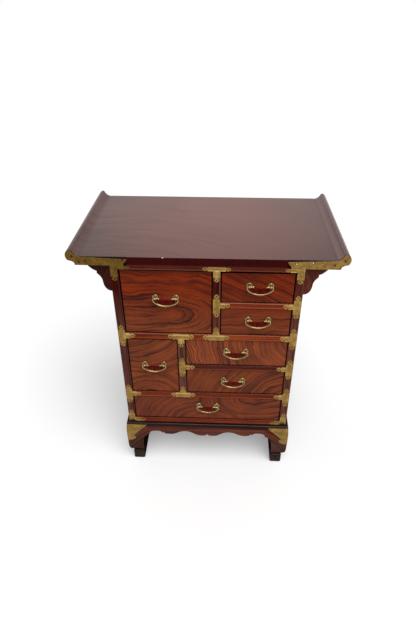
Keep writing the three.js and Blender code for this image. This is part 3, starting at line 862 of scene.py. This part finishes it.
# %% [markdown]
# ## The stand
#
# The stand is browner and duller than the case. Its legs curve in from a rounded knee to a runner that
# lies on the floor, and the scalloped aprons run into the legs without a step.

# %% Finish the stand
APRON_EDGE = 1.0 * MM
LEG_EDGE = 1.2 * MM
RUNNER_EDGE = 4.5 * MM
for side in ("front", "back", "left", "right"):
    soften(side + "_apron", stand_wood, width=APRON_EDGE)
for side, leg_wood in leg_woods.items():
    for end in ("front", "back"):
        soften(end + "_" + side + "_leg", leg_wood, width=LEG_EDGE)
    soften(side + "_runner", runner_wood, width=RUNNER_EDGE, segments=4)
soften("stand_board", ledge_wood, width=SOFTWOOD_EDGE)
print("stand finished, with", 2 * len(leg_woods), "legs")

# %% [markdown]
# ## Drawer fronts
#
# Each front is a solid board with its own figure, and together these are what the eye remembers of
# this cabinet. A table says how each front was cut from its log, its tones, and how strongly the
# figure shows at its left and its right. Two fronts have a second centre, where another branch's rings
# meet the first ones.

# %% A figure for each drawer front
LIGHT_BROWN = tone((165, 83, 46), (68, 34, 31))
MID_BROWN = tone((148, 73, 39), (56, 29, 28))
DARK_BROWN = tone((143, 69, 40), (52, 27, 27))
# the darker, redder tones that the fronts take higher up, painted shade under the top
RED = tone((143, 51, 17), (52, 17, 15))


def on_the_face(across, up):
    return (across, DRAWER_FACE, up)


def cut(across, up, degrees, spacing, **more):
    """How a front was cut: its rings' middle, the rise of its grain, and its rings' spacing in mm."""
    turn = turned_in_front(degrees)
    return {"centre": on_the_face(across, up), "turn": turn, "spacing": spacing * MM, **more}


FRONTS = {
    "upper_left": (
        cut(-0.121, 0.637, 0, 16, stretch=2.2, tail=40.0, wander=1.6), MID_BROWN, (1.1, 1.15),
    ),
    "first_right": (cut(0.36, 0.86, -24, 9, stretch=5.0), MID_BROWN, (0.8, 1.1)),
    "second_right": (cut(0.05, 0.48, 6, 9, stretch=5.0, wander=1.3), MID_BROWN, (0.8, 1.0)),
    "lower_left": (
        cut(
            -0.180, 0.311, 0, 9, stretch=1.1, tail=1.6, wander=1.6,
            second=on_the_face(-0.235, 0.639), shift=-0.144,
        ),
        MID_BROWN, (1.1, 1.3),
    ),
    "third_right": (cut(0.30, 0.56, 0, 10, stretch=1.0, wander=2.2), LIGHT_BROWN, (1.4, 0.5)),
    "fourth_right": (cut(0.30, 0.24, 0, 7.5, stretch=1.0, wander=1.2), MID_BROWN, (0.6, 1.3)),
    "bottom": (
        cut(
            0.150, 0.305, 180, 10, stretch=1.7, tail=4.0, wander=1.3,
            second=on_the_face(0.0, 0.120), shift=-0.066,
        ),
        DARK_BROWN, (0.6, 1.2),
    ),
}
print("fronts with a second centre:", [name for name, look in FRONTS.items() if "second" in look[0]])

# %% [markdown]
# ## The drawers
#
# A darker, redder half-moon with fine streaks is painted behind each hanging pull, as the pull's shade.
# It is drawn by place, as an ellipse below the pull's posts. Behind each front is a plain box with its
# corners hardly eased.

# %% Finish the drawers
PULL_SHADE_TONES = tone((112, 16, 6), (58, 6, 4))
MARK_DROP = 10 * MM
MARK_HALF_WIDTH = 31 * MM
MARK_DEPTH = 23 * MM
MARK_FADE = 1.5 * MM
FRONT_EDGE = 0.9 * MM


def middle_of(node):
    low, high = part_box(node)
    return (low + high) / 2


def painted_pull_shade(pull):
    """Painted shade: the dark half-moon below the middle of a pull's posts."""

    def marked(wood, body):
        x, y, z = wood.where((pull.x, DRAWER_FACE, pull.z - MARK_DROP))
        out = ((x / MARK_HALF_WIDTH) ** 2.0 + (z / MARK_DEPTH) ** 2.0) ** 0.5
        inside = ((1.0 - out) * 6.0).limited()
        below = (z / -MARK_FADE).limited()
        streaks = wood.noise(wood.vector(x * 260.0, 0.0, z * 60.0), 1.0, 1.0) * 4.0 - 1.6
        return wood.mix(inside * below * 0.95, body, wood.mix(streaks.limited(), *PULL_SHADE_TONES))

    return marked


# painted shade in the gaps round each drawer front
gap = painted_gap_shade(DRAWER_FACE)
for name, (figure, tones, depths) in FRONTS.items():
    finish = lacquered(
        name, tones, figure, slot="drawer_wood", second=RED, depths=depths,
        sides=span(name + "_front", ACROSS), marks=(painted_pull_shade(middle_of(name + "_posts")), gap),
    )
    soften(name + "_front", finish, width=FRONT_EDGE, body=name + "_drawer")
    soften(name + "_box", box_wood, width=SOFTWOOD_EDGE, body=name + "_drawer")
print("drawers finished:", len(FRONTS))

# %% [markdown]
# ## Brass plates over the joints
#
# Where two frame members meet, a thin plate with up to three arms is nailed over the joint. Its arms
# are nearly as wide as the members, and end in a nick on each side and a pointed leaf. Its outline is
# walked round the middle of the joint, arm by arm.

# %% The outline of a joint plate
UPRIGHT_MARGIN = 2.2 * MM
RAIL_MARGIN = 0.8 * MM
LEAF_LENGTH = 15 * MM
# back from the tip as a share of the leaf's length, and out as a share of half the arm's width
LEAF_SHARES = [
    (1.0, 1.0), (0.98, 0.56), (0.91, 0.36), (0.82, 0.4), (0.75, 0.7), (0.68, 0.84), (0.56, 0.86),
    (0.44, 0.8), (0.32, 0.67), (0.21, 0.52), (0.12, 0.37), (0.04, 0.2),
]
DIRECTIONS = {"right": (1, 0), "up": (0, 1), "left": (-1, 0), "down": (0, -1)}


def plate_outline(reaches, half_upright, half_rail, drop):
    """The corners of a plate, round from the right arm's lower side, a drop below the joint's middle."""
    corners = []
    for name, (out_x, out_z) in DIRECTIONS.items():
        half = half_rail if out_x else half_upright
        if name in reaches:
            reach = reaches[name]
            side = [(reach - back * LEAF_LENGTH, share * half) for back, share in LEAF_SHARES]
            leaf = [(along, -across) for along, across in side] + [(reach, 0)]
            leaf += [(along, across) for along, across in reversed(side)]
            corners += [(a * out_x - c * out_z, a * out_z + c * out_x) for a, c in leaf]
        corners.append((half_upright * (out_x - out_z), half_rail * (out_z + out_x)))
    return [(x, z - drop) for x, z in corners]


print("corners of one arm:", 2 * len(LEAF_SHARES) + 1)

# %% [markdown]
# ## Hammered sheet
#
# The sheet is hammered into the hollows of both members. So a flat outline is cut into narrow strips,
# and each point is pushed back as deep as the hollow is there. The member that runs through sets the
# depth at the crossing, and beyond it the other takes over. Last, the surface gets its thickness
# outwards and small round edges.

# %% Sheets that follow the hollows
SHEET_STRIPS = 10
BLEND_LENGTH = 3 * MM
BLEND_STEPS = 2
SHEET_CREASE = math.radians(50)
OTHER = {"upright": "rail", "rail": "upright"}


def cut_sheet(shape, normal, places):
    for place in places:
        everything = shape.verts[:] + shape.edges[:] + shape.faces[:]
        bmesh.ops.bisect_plane(shape, geom=everything, plane_co=Vector(normal) * place, plane_no=normal)


def strip_lines(width):
    half = width / 2 - HOLLOW_ARRIS
    return [half * (2 * step / SHEET_STRIPS - 1) for step in range(SHEET_STRIPS + 1)]


def hollow_at(offset, width):
    """How far back a member's face lies at a distance from its middle line."""
    half = width / 2 - HOLLOW_ARRIS
    beyond = abs(offset) - half
    if beyond > 0:
        return ARRIS_EASE * beyond / HOLLOW_ARRIS
    return HOLLOW_DEPTH * (1 - (offset / half) ** 2)


def sheet_depth(offsets, widths, through):
    """How far back the sheet lies, from the distances to both members' middle lines."""
    beyond = abs(offsets[through]) - widths[through] / 2
    if beyond <= 0:
        return hollow_at(offsets[through], widths[through])
    other = OTHER[through]
    depth = hollow_at(offsets[other], widths[other])
    share = min(1, beyond / BLEND_LENGTH)
    return min(depth, ARRIS_EASE * (1 - share) + depth * share)


def nailed_sheet(name, shape, finish, outwards, thickness, edge_width, folded=False):
    """Makes a piece of a surface. A folded one keeps its fold crisp and its thickness even round it."""
    bmesh.ops.recalc_face_normals(shape, faces=shape.faces)
    if sum(face.normal.dot(Vector(outwards)) for face in shape.faces) < 0:
        bmesh.ops.reverse_faces(shape, faces=shape.faces)
    smooth_faces(shape)
    for edge in shape.edges:
        edge.smooth = not (folded and is_sharp(edge, MOULDED))
    piece = new_piece(name, mesh_of(shape, name), finish)
    sheet = piece.modifiers.new("sheet", "SOLIDIFY")
    sheet.thickness = thickness
    sheet.offset = 1
    sheet.use_even_offset = folded
    rounded(piece, edge_width, angle=SHEET_CREASE)
    settle(piece)


print("a member's hollow is cut into strips:", SHEET_STRIPS)

# %% [markdown]
# Three arms meet where a rail ends at an upright, and two at the corners of the case. Each arm is held
# by a nail through its leaf, whose head is made later, with all others.

# %% Nail a plate over every joint
TOP_RAIL_DROP = 2.6 * MM
ARM_REACHES = {"right": 40 * MM, "up": 37 * MM, "left": 40 * MM, "down": 43 * MM}
CORNER_REACH = 45 * MM
JOINT_PLATE_EDGE = 0.3 * MM
LEAF_NAIL_RADIUS = 2.2 * MM
LEAF_NAIL_SHARE = 0.5
NAIL_DEPTH = HOLLOW_DEPTH * 0.9 - PLATE_THICKNESS
FRONTWARDS = (0, -1, 0)


def joint_plate(name, upright, rail, through, reaches, finish):
    """Lays a plate over the joint of two members, and returns the place where its arms meet."""
    (left, right), (low, high) = span(upright, ACROSS), span(rail, UPWARDS)
    widths = {"upright": right - left, "rail": high - low}
    middle = Vector(((left + right) / 2, BODY_FRONT, (low + high) / 2))
    drop = TOP_RAIL_DROP if rail == "top_rail" else 0
    half_upright = widths["upright"] / 2 - UPRIGHT_MARGIN
    half_rail = widths["rail"] / 2 - RAIL_MARGIN - drop
    outline = plate_outline(reaches, half_upright, half_rail, drop)
    shape = bmesh.new()
    shape.faces.new([shape.verts.new((x, 0, z)) for x, z in outline])
    bmesh.ops.remove_doubles(shape, verts=shape.verts, dist=MERGE_REACH)
    cuts = {member: strip_lines(width) for member, width in widths.items()}
    steps = [step * BLEND_LENGTH / BLEND_STEPS for step in range(BLEND_STEPS + 1)]
    blend = [widths[through] / 2 + step for step in steps]
    cuts[through] += blend + [-place for place in blend]
    cut_sheet(shape, (1, 0, 0), cuts["upright"])
    cut_sheet(shape, (0, 0, 1), cuts["rail"])
    for vertex in shape.verts:
        offsets = {"upright": vertex.co.x, "rail": vertex.co.z}
        vertex.co.y = sheet_depth(offsets, widths, through)
        vertex.co += middle
    bmesh.ops.triangulate(shape, faces=[face for face in shape.faces if len(face.verts) > 4])
    nailed_sheet(name, shape, finish, FRONTWARDS, PLATE_THICKNESS, JOINT_PLATE_EDGE)
    return middle - Vector((0, 0, drop))


plates = []
for side, inwards in (("left", "right"), ("right", "left")):
    stile = side + "_stile"
    plates.append((side + "_top_corner", stile, "top_rail", "upright", {"down", inwards}))
    plates.append((side + "_bottom_corner", stile, "bottom_rail", "upright", {"up", inwards}))
    rails = {"middle": "middle_shelf", "lower": "lower_shelf"}
    if side == "right":
        rails |= {"upper": "upper_right_shelf", "low_middle": "lower_right_shelf"}
    for rail_name, rail in rails.items():
        plates.append((side + "_" + rail_name + "_joint", stile, rail, "upright", {"up", "down", inwards}))
for divider, above, beside, below in (
    ("upper", "top_rail", "upper_right_shelf", "middle_shelf"),
    ("lower", "middle_shelf", "lower_right_shelf", "lower_shelf"),
):
    upright = divider + "_partition"
    plates.append((divider + "_divider_top", upright, above, "rail", {"left", "right", "down"}))
    plates.append((divider + "_divider_joint", upright, beside, "upright", {"up", "down", "right"}))
    plates.append((divider + "_divider_foot", upright, below, "rail", {"left", "right", "up"}))

nails = []
for name, upright, rail, through, arms in plates:
    reaches = {arm: ARM_REACHES[arm] if len(arms) == 3 else CORNER_REACH for arm in sorted(arms)}
    # the left top corner plate gets the darker brass of painted shade
    finish = shaded_brass if name == "left_top_corner" else joint_brass
    middle = joint_plate(name + "_plate", upright, rail, through, reaches, finish)
    for arm, reach in reaches.items():
        out_x, out_z = DIRECTIONS[arm]
        along = reach - LEAF_LENGTH * LEAF_NAIL_SHARE
        place = middle + Vector((out_x * along, NAIL_DEPTH, out_z * along))
        nails.append((place, FRONTWARDS, LEAF_NAIL_RADIUS))
print("joint plates:", len(plates))

# %% [markdown]
# ## Brass on the front legs
#
# Each front knee is bound by a plate that wraps its corner. Both leaves have the same outline:
# straight along the top, drawn in by a long curve, nicked once, and rounded off in a lobe. The leg
# swells as it goes down, so each point is set out by how far the leg reaches at that height.

# %% A leaf that follows the leg
LEG_PLATE_REACH = 80 * MM
LEVEL_STEP = 5 * MM
LEVELS = 15
# in from the corner, and down from the top of the leg, in millimetres
LEG_PLATE_EDGE = [
    (68.5, 0.0), (66.0, 5.0), (62.5, 10.0), (57.5, 15.0), (52.0, 20.0), (45.5, 26.5), (39.0, 33.5),
    (33.0, 40.5), (28.5, 46.0), (24.5, 49.0), (22.5, 51.5), (24.0, 54.0), (27.5, 56.5), (29.5, 60.5),
    (29.0, 65.5), (26.0, 70.0), (21.0, 73.0), (15.0, 75.0), (8.0, 77.5), (0.0, 79.5),
]


def leg_reaches():
    """The heights at which the leg's outline bends, and how far it stands out from the body there."""
    shape = whole_shape("front_right_leg")
    widest = {}
    for vertex in shape.verts:
        height = round(vertex.co.z, 5)
        widest[height] = max(widest.get(height, 0), vertex.co.x - BODY_SIDE)
    shape.free()
    heights = sorted(widest)
    return heights, [widest[height] for height in heights]


LEG_HEIGHTS, LEG_OUT = leg_reaches()


def leg_reach(height):
    return float(np.interp(height, LEG_HEIGHTS, LEG_OUT))


def leg_leaf(shape, place):
    """Adds one leaf, cut level by level so that it can follow the leg's curve."""
    sheet = bmesh.new()
    corners = [(0, 0), *LEG_PLATE_EDGE]
    sheet.faces.new([sheet.verts.new((inwards * MM, 0, -down * MM)) for inwards, down in corners])
    bends = [height - LEG_TOP for height in LEG_HEIGHTS if LEG_TOP - LEG_PLATE_REACH < height < LEG_TOP]
    levels = [(step + 0.5) * -LEVEL_STEP for step in range(LEVELS)]
    cut_sheet(sheet, (0, 0, 1), bends + levels)
    bmesh.ops.triangulate(sheet, faces=sheet.faces)
    made = {}
    for vertex in sheet.verts:
        height = LEG_TOP + vertex.co.z
        made[vertex] = shape.verts.new(place(vertex.co.x, height, leg_reach(height)))
    for face in sheet.faces:
        shape.faces.new([made[vertex] for vertex in face.verts])
    sheet.free()


print("the leg reaches out", round(max(LEG_OUT), 4), "m at most")

# %% [markdown]
# The two leaves are joined along the leg's corner, and six small nails hold each.

# %% Bind the front knees
LEG_PLATE_THICKNESS = 0.6 * MM
KNEE_PLATE_EDGE = 0.25 * MM
KNEE_NAIL_RADIUS = 1.2 * MM
NAIL_SINK = 0.3 * MM
# in from the corner, and down from the top of the leg, in millimetres
KNEE_NAILS = [(60, 4), (9, 6), (9, 38), (31, 27), (24, 62), (9, 70)]


def knee_plate(side, across):
    def on_front(inwards, height, out):
        return (across * (BODY_SIDE + out - inwards), BODY_FRONT - out, height)

    def on_side(inwards, height, out):
        return (across * (BODY_SIDE + out), BODY_FRONT - out + inwards, height)

    leaves = [(on_front, FRONTWARDS), (on_side, (across, 0, 0))]
    shape = bmesh.new()
    for place, _ in leaves:
        leg_leaf(shape, place)
    bmesh.ops.remove_doubles(shape, verts=shape.verts, dist=MERGE_REACH)
    nailed_sheet(
        side + "_knee_plate", shape, plate_brass, (across, -1, 0), LEG_PLATE_THICKNESS, KNEE_PLATE_EDGE,
        folded=True,
    )
    for inwards, down in KNEE_NAILS:
        height = LEG_TOP - down * MM
        out = leg_reach(height) + LEG_PLATE_THICKNESS - NAIL_SINK
        for place, outwards in leaves:
            nails.append((Vector(place(inwards * MM, height, out)), outwards, KNEE_NAIL_RADIUS))


knee_plate("left", -1)
knee_plate("right", 1)
print("nails in each knee plate:", 2 * len(KNEE_NAILS))

# %% [markdown]
# ## Nails
#
# Every plate is held by round-headed brass nails. They are one shape that repeats, which is what
# Geometry Nodes are for. A recipe is a tree that turns one mesh into another, with its sizes as inputs
# that have names.

# %% A recipe in Geometry Nodes
class Recipe(Builder):
    """A Geometry Nodes tree with one geometry in, one out, and named sizes."""

    def __init__(self, name, **sizes):
        super().__init__(bpy.data.node_groups.new(name, "GeometryNodeTree"))
        sockets = self.tree.interface
        sockets.new_socket("Geometry", in_out="INPUT", socket_type="NodeSocketGeometry")
        sockets.new_socket("Geometry", in_out="OUTPUT", socket_type="NodeSocketGeometry")
        self.sizes = sizes
        for size in sizes:
            sockets.new_socket(size, in_out="INPUT", socket_type="NodeSocketFloat")
        self.source = self.tree.nodes.new("NodeGroupInput")
        self.result = self.tree.nodes.new("NodeGroupOutput")

    def given(self, name):
        return Wire(self, self.source.outputs[name])

    def attribute(self, name, kind):
        return self.node("GeometryNodeInputNamedAttribute", {"data_type": kind}, {"Name": name})

    def balls(self, places, look, squeeze, **more):
        """One ball on each point, squeezed along its axes."""
        ball = self.node("GeometryNodeMeshUVSphere", inputs=look)
        shaped = self.node("GeometryNodeTransform", inputs={"Geometry": ball, "Scale": squeeze})
        inputs = {"Points": places, "Instance": shaped, **more}
        return self.node("GeometryNodeInstanceOnPoints", inputs=inputs)

    def deliver(self, geometry):
        real = self.node("GeometryNodeRealizeInstances", inputs={0: geometry})
        self.feed(self.result.inputs[0], self.node("GeometryNodeSetShadeSmooth", inputs={0: real}))

    def made_from(self, mesh, name):
        """Runs the tree on a mesh and returns the plain mesh that it makes."""
        carrier = in_scene("carrier", mesh)
        modifier = carrier.modifiers.new("recipe", "NODES")
        modifier.node_group = self.tree
        for size, value in self.sizes.items():
            modifier[self.tree.interface.items_tree[size].identifier] = value
        bpy.context.view_layer.update()
        evaluated = carrier.evaluated_get(bpy.context.evaluated_depsgraph_get())
        made = bpy.data.meshes.new_from_object(evaluated)
        made.name = name
        bpy.data.objects.remove(carrier)
        return made


print("a recipe can make nails and pulls")

# %% [markdown]
# The nails' places are points that carry which way they face and how wide they are. The recipe sets a
# low dome on each point, turned to face outwards.

# %% Heads for all the nails
CAP_NAIL_RADIUS = 2.6 * MM
CAP_NAIL_SINK = 1.45 * MM
DOME_HEIGHT_SHARE = 0.55
UNIT_BALL = {"Segments": 12, "Rings": 7, "Radius": 1.0}


def nail_recipe():
    recipe = Recipe("nail heads", **{"Dome Height": DOME_HEIGHT_SHARE})
    facing = recipe.attribute("outwards", "FLOAT_VECTOR")
    turn = recipe.node("FunctionNodeAlignRotationToVector", {"axis": "Z"}, {"Vector": facing})
    low = recipe.vector(1.0, 1.0, recipe.given("Dome Height"))
    radius = recipe.attribute("radius", "FLOAT")
    recipe.deliver(recipe.balls(recipe.given("Geometry"), UNIT_BALL, low, Rotation=turn, Scale=radius))
    return recipe


def nail_heads(name, places, finish):
    points = bpy.data.meshes.new(name + " places")
    points.from_pydata([place for place, _, _ in places], [], [])
    outwards = points.attributes.new("outwards", "FLOAT_VECTOR", "POINT")
    outwards.data.foreach_set("vector", [value for _, facing, _ in places for value in facing])
    radii = points.attributes.new("radius", "FLOAT", "POINT")
    radii.data.foreach_set("value", [radius for _, _, radius in places])
    settle(new_piece(name, head.made_from(points, name), finish))


def cap_nails(places):
    depth = CAP_FACE + CAP_NAIL_SINK
    return [(Vector((x * MM, depth, z * MM)), FRONTWARDS, CAP_NAIL_RADIUS) for x, z in places]


head = nail_recipe()
nail_heads("bright_nails", cap_nails(BRIGHT_CAP_NAILS), nail_brass)
nails += cap_nails(DARK_CAP_NAILS)
nail_heads("dark_nails", nails, old_nail_brass)
print("dark nails:", len(nails))

# %% [markdown]
# ## The pulls
#
# Each pull is a bow that hangs from two posts. A post is turned: a shank through the front, a dished
# rosette with a thick rim, a neck, and an eye. Behind the front the tails of both are clinched flat.

# %% The turned posts
POST_HALF_SPACING = 30 * MM
FRONT_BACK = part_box("upper_left_front")[1].y
TAIL_GAP = 0.3 * MM
TAIL_HALF_WIDTH = 2.5 * MM
TAIL_THICKNESS = 2 * MM
TURNED_SIDES = 32
# out from the middle and forward from the drawer's face, in millimetres
POST_PROFILE = [
    (0.0, -20.3), (2.2, -20.3), (2.2, -0.4), (9.0, -0.4), (9.2, 0.2), (9.2, 1.4), (9.0, 2.5), (8.5, 3.4),
    (7.7, 3.95), (6.9, 4.0), (6.2, 3.6), (5.6, 2.9), (4.9, 2.3), (4.0, 2.0), (3.2, 2.2), (2.7, 2.8),
    (2.5, 3.8), (2.5, 6.6), (2.9, 7.6), (3.7, 8.6), (4.1, 9.6), (4.2, 10.5), (4.0, 11.6), (3.4, 12.8),
    (2.4, 13.8), (1.2, 14.4), (0.0, 14.6),
]


def turned_shape(profile):
    """A closed turned piece on the Y axis, which comes forward from Y 0."""
    shape = bmesh.new()
    rings = []
    for radius, forward in profile:
        ring = []
        for side in range(TURNED_SIDES if radius else 1):
            angle = 2 * math.pi * side / TURNED_SIDES
            ring.append(shape.verts.new((radius * math.cos(angle), -forward, radius * math.sin(angle))))
        rings.append(ring)
    for lower, upper in zip(rings, rings[1:]):
        for side in range(TURNED_SIDES):
            ahead = (side + 1) % TURNED_SIDES
            corners = [lower[side % len(lower)], lower[ahead % len(lower)]]
            corners += [upper[ahead % len(upper)], upper[side % len(upper)]]
            shape.faces.new(list(dict.fromkeys(corners)))
    bmesh.ops.recalc_face_normals(shape, faces=shape.faces)
    smooth_faces(shape)
    return shape


def posts_mesh():
    shape = bmesh.new()
    for side in (-1, 1):
        post = turned_shape([(radius * MM, forward * MM) for radius, forward in POST_PROFILE])
        post.transform(Matrix.Translation((side * POST_HALF_SPACING, DRAWER_FACE, 0)))
        shape.from_mesh(mesh_of(post, "post"))
    tail = bmesh.ops.create_cube(shape, size=1)["verts"]
    for vertex in tail:
        x, y, z = vertex.co
        back = FRONT_BACK + TAIL_GAP + (y + 0.5) * TAIL_THICKNESS
        vertex.co = (x * 2 * POST_HALF_SPACING, back, z * 2 * TAIL_HALF_WIDTH)
    return mesh_of(shape, "posts")


posts = posts_mesh()
print("corners of the two posts:", len(posts.vertices))

# %% [markdown]
# The bow follows a line: flat at the bottom, up the side, and round a tight bend into the eye. Only
# half is worked out, and the other half mirrors it.

# %% The bow's line
HANDLE_OUT = 10.5 * MM
BOW_DROP = 25 * MM
BOW_WIDEST = 36.5 * MM
BOW_BEND_DROP = 5 * MM
BOW_FLAT_SHARE = 0.5
BOW_SIDE_SHARE = 0.62
BOW_TIP = 19.5 * MM
BEND_START = 32.3 * MM
SIDE_STEPS = 22
BEND_STEPS = 11


def bezier(points, steps):
    """Points along a curve that starts and ends at the first and last of its handles."""
    made = []
    for step in range(1, steps + 1):
        level = [Vector(point) for point in points]
        while len(level) > 1:
            level = [a.lerp(b, step / steps) for a, b in zip(level, level[1:])]
        made.append(level[0])
    return made


def bow_line():
    low, bend = (0, -BOW_DROP), (BOW_WIDEST, -BOW_BEND_DROP)
    along_the_bottom = (BOW_FLAT_SHARE * BOW_WIDEST, -BOW_DROP)
    up_the_side = (BOW_WIDEST, -BOW_SIDE_SHARE * BOW_DROP)
    half = [Vector(low)]
    half += bezier([low, along_the_bottom, up_the_side, bend], SIDE_STEPS)
    half += bezier([bend, (BOW_WIDEST, 0), (BEND_START, 0)], BEND_STEPS)
    half.append(Vector((BOW_TIP, 0)))
    whole = [Vector((-point.x, point.y)) for point in reversed(half[1:])] + half
    line = bpy.data.meshes.new("bow line")
    corners = [(point.x, DRAWER_FACE - HANDLE_OUT, point.y) for point in whole]
    line.from_pydata(corners, [(i, i + 1) for i in range(len(corners) - 1)], [])
    return line


print("the bow bends inwards at", BOW_WIDEST, "m from its middle")

# %% [markdown]
# The bow is a rod that is bent in at both ends to pass through the eyes, with a small ball on each
# tip, three beads at the bottom and a drop below them.

# %% A recipe for the bow
BOW_SIZES = {
    "Rod Radius": 1.9 * MM, "Bead Radius": 3.1 * MM, "Bead Spacing": 6.6 * MM,
    "Tip Radius": 3.0 * MM, "Drop Radius": 1.9 * MM, "Bow Drop": BOW_DROP,
}
ROD_SIDES = 14
BEAD_COUNT = 3
BALL_SIDES = {"Segments": 20, "Rings": 12}
ROUND = (1.0, 1.0, 1.0)
BEAD = (0.8, 1.0, 1.0)


def bow_recipe():
    recipe = Recipe("bow of a pull", **BOW_SIZES)
    line = recipe.node("GeometryNodeMeshToCurve", inputs={0: recipe.given("Geometry")})
    size = {"Resolution": ROD_SIDES, "Radius": recipe.given("Rod Radius")}
    section = recipe.node("GeometryNodeCurvePrimitiveCircle", inputs=size)
    swept = {"Curve": line, "Profile Curve": section, "Fill Caps": True}
    axis_y = DRAWER_FACE - HANDLE_OUT
    low = recipe.given("Bow Drop") * -1
    gap = recipe.given("Bead Spacing")
    row = {"Start Location": recipe.vector(gap * -1, axis_y, low), "Offset": recipe.vector(gap, 0.0, 0.0)}
    under = recipe.vector(0.0, axis_y, low - recipe.given("Bead Radius"))
    beads = recipe.node("GeometryNodeMeshLine", inputs={"Count": BEAD_COUNT, **row})
    drop = recipe.node("GeometryNodeMeshLine", inputs={"Count": 1, "Start Location": under})
    ends = recipe.node("GeometryNodeCurveEndpointSelection")

    def ball(radius):
        return {**BALL_SIDES, "Radius": recipe.given(radius)}

    pieces = [
        recipe.node("GeometryNodeCurveToMesh", inputs=swept),
        recipe.balls(beads, ball("Bead Radius"), BEAD),
        recipe.balls(drop, ball("Drop Radius"), ROUND),
        recipe.balls(line, ball("Tip Radius"), ROUND, Selection=ends),
    ]
    join = recipe.tree.nodes.new("GeometryNodeJoinGeometry")
    for piece in reversed(pieces):
        recipe.feed(join.inputs[0], piece)
    recipe.deliver(Wire(recipe, join.outputs[0]))
    return recipe


bow = bow_recipe().made_from(bow_line(), "bow")
print("corners of the bow:", len(bow.vertices))

# %% [markdown]
# The posts ride with the drawer and the bow with its own body, so that it can swing.

# %% Hang a pull on every drawer
for name in FRONTS:
    axis = middle_of(name + "_posts")
    axis.y = 0
    for kind, pattern, body in (("posts", posts, name + "_drawer"), ("bail", bow, name + "_handle")):
        node = name + "_" + kind
        mesh = pattern.copy()
        mesh.transform(Matrix.Translation(axis))
        settle(new_piece(node + "_cast", mesh, handle_brass), body, node)
print("pulls hung:", len(FRONTS))

# %% [markdown]
# ## The studio
#
# The cabinet stands on a white floor with no horizon. A white that comes from more light would bleach
# the object, so floor and sky look white only to the camera and to mirror-like reflections, while the
# light that falls on the wood stays at the level at which a colour looks as it is written. One broad
# far lamp from the upper right gives the soft shadow to the left.

# %% Floor, sky and lamp
SKY_LEVEL = 0.45
FLOOR_GLOW = 0.27
FLOOR_SEEN = 0.62
FLOOR_BOUNCE = 0.3
FLOOR_HALF = 6
KEY_FROM = (0.6, -1.1, 2.6)
KEY_SPREAD = math.radians(44)
KEY_LEVEL = 2.8


def seen_directly(builder):
    """1 for the camera, for mirrored and for see-through rays, and 0 for the light that falls on things."""
    path = builder.tree.nodes.new("ShaderNodeLightPath")
    names = ("Is Camera Ray", "Is Glossy Ray", "Is Transmission Ray")
    camera_ray, mirrored, through = [Wire(builder, path.outputs[name]) for name in names]
    return camera_ray.maths("MAXIMUM", mirrored).maths("MAXIMUM", through)


world = bpy.data.worlds.new("studio")
bpy.context.scene.world = world
world.use_nodes = True
sky = Builder(world.node_tree)
background = world.node_tree.nodes["Background"]
background.inputs["Color"].default_value = (1, 1, 1, 1)
sky.feed(background.inputs["Strength"], seen_directly(sky) * (1 - SKY_LEVEL) + SKY_LEVEL)

floor_finish = Finish("floor", "", Specular_IOR_Level=0.0, Roughness=1.0, Emission_Strength=1.0)
level = seen_directly(floor_finish) * (FLOOR_SEEN - FLOOR_BOUNCE) + FLOOR_BOUNCE
glow = seen_directly(floor_finish) * FLOOR_GLOW
floor_finish.give(
    Base_Color=floor_finish.vector(level, level, level), Emission_Color=floor_finish.vector(glow, glow, glow)
)
floor_shape = bmesh.new()
bmesh.ops.create_grid(floor_shape, x_segments=1, y_segments=1, size=FLOOR_HALF)
new_piece("floor", mesh_of(floor_shape, "floor"), floor_finish)

key_data = bpy.data.lights.new("key", "SUN")
key_data.angle = KEY_SPREAD
key_data.energy = KEY_LEVEL
key = in_scene("key", key_data)
key.location = KEY_FROM
key.rotation_euler = Vector(KEY_FROM).to_track_quat("Z", "Y").to_euler()
bpy.context.scene.view_settings.view_transform = "Standard"
print("lamp at", KEY_FROM, "with strength", KEY_LEVEL)

# %% [markdown]
# ## Finishing
#
# The looks must not change the object's size. Last, the scene is brought up to date.

# %% Bring the scene up to date
bpy.context.view_layer.update()
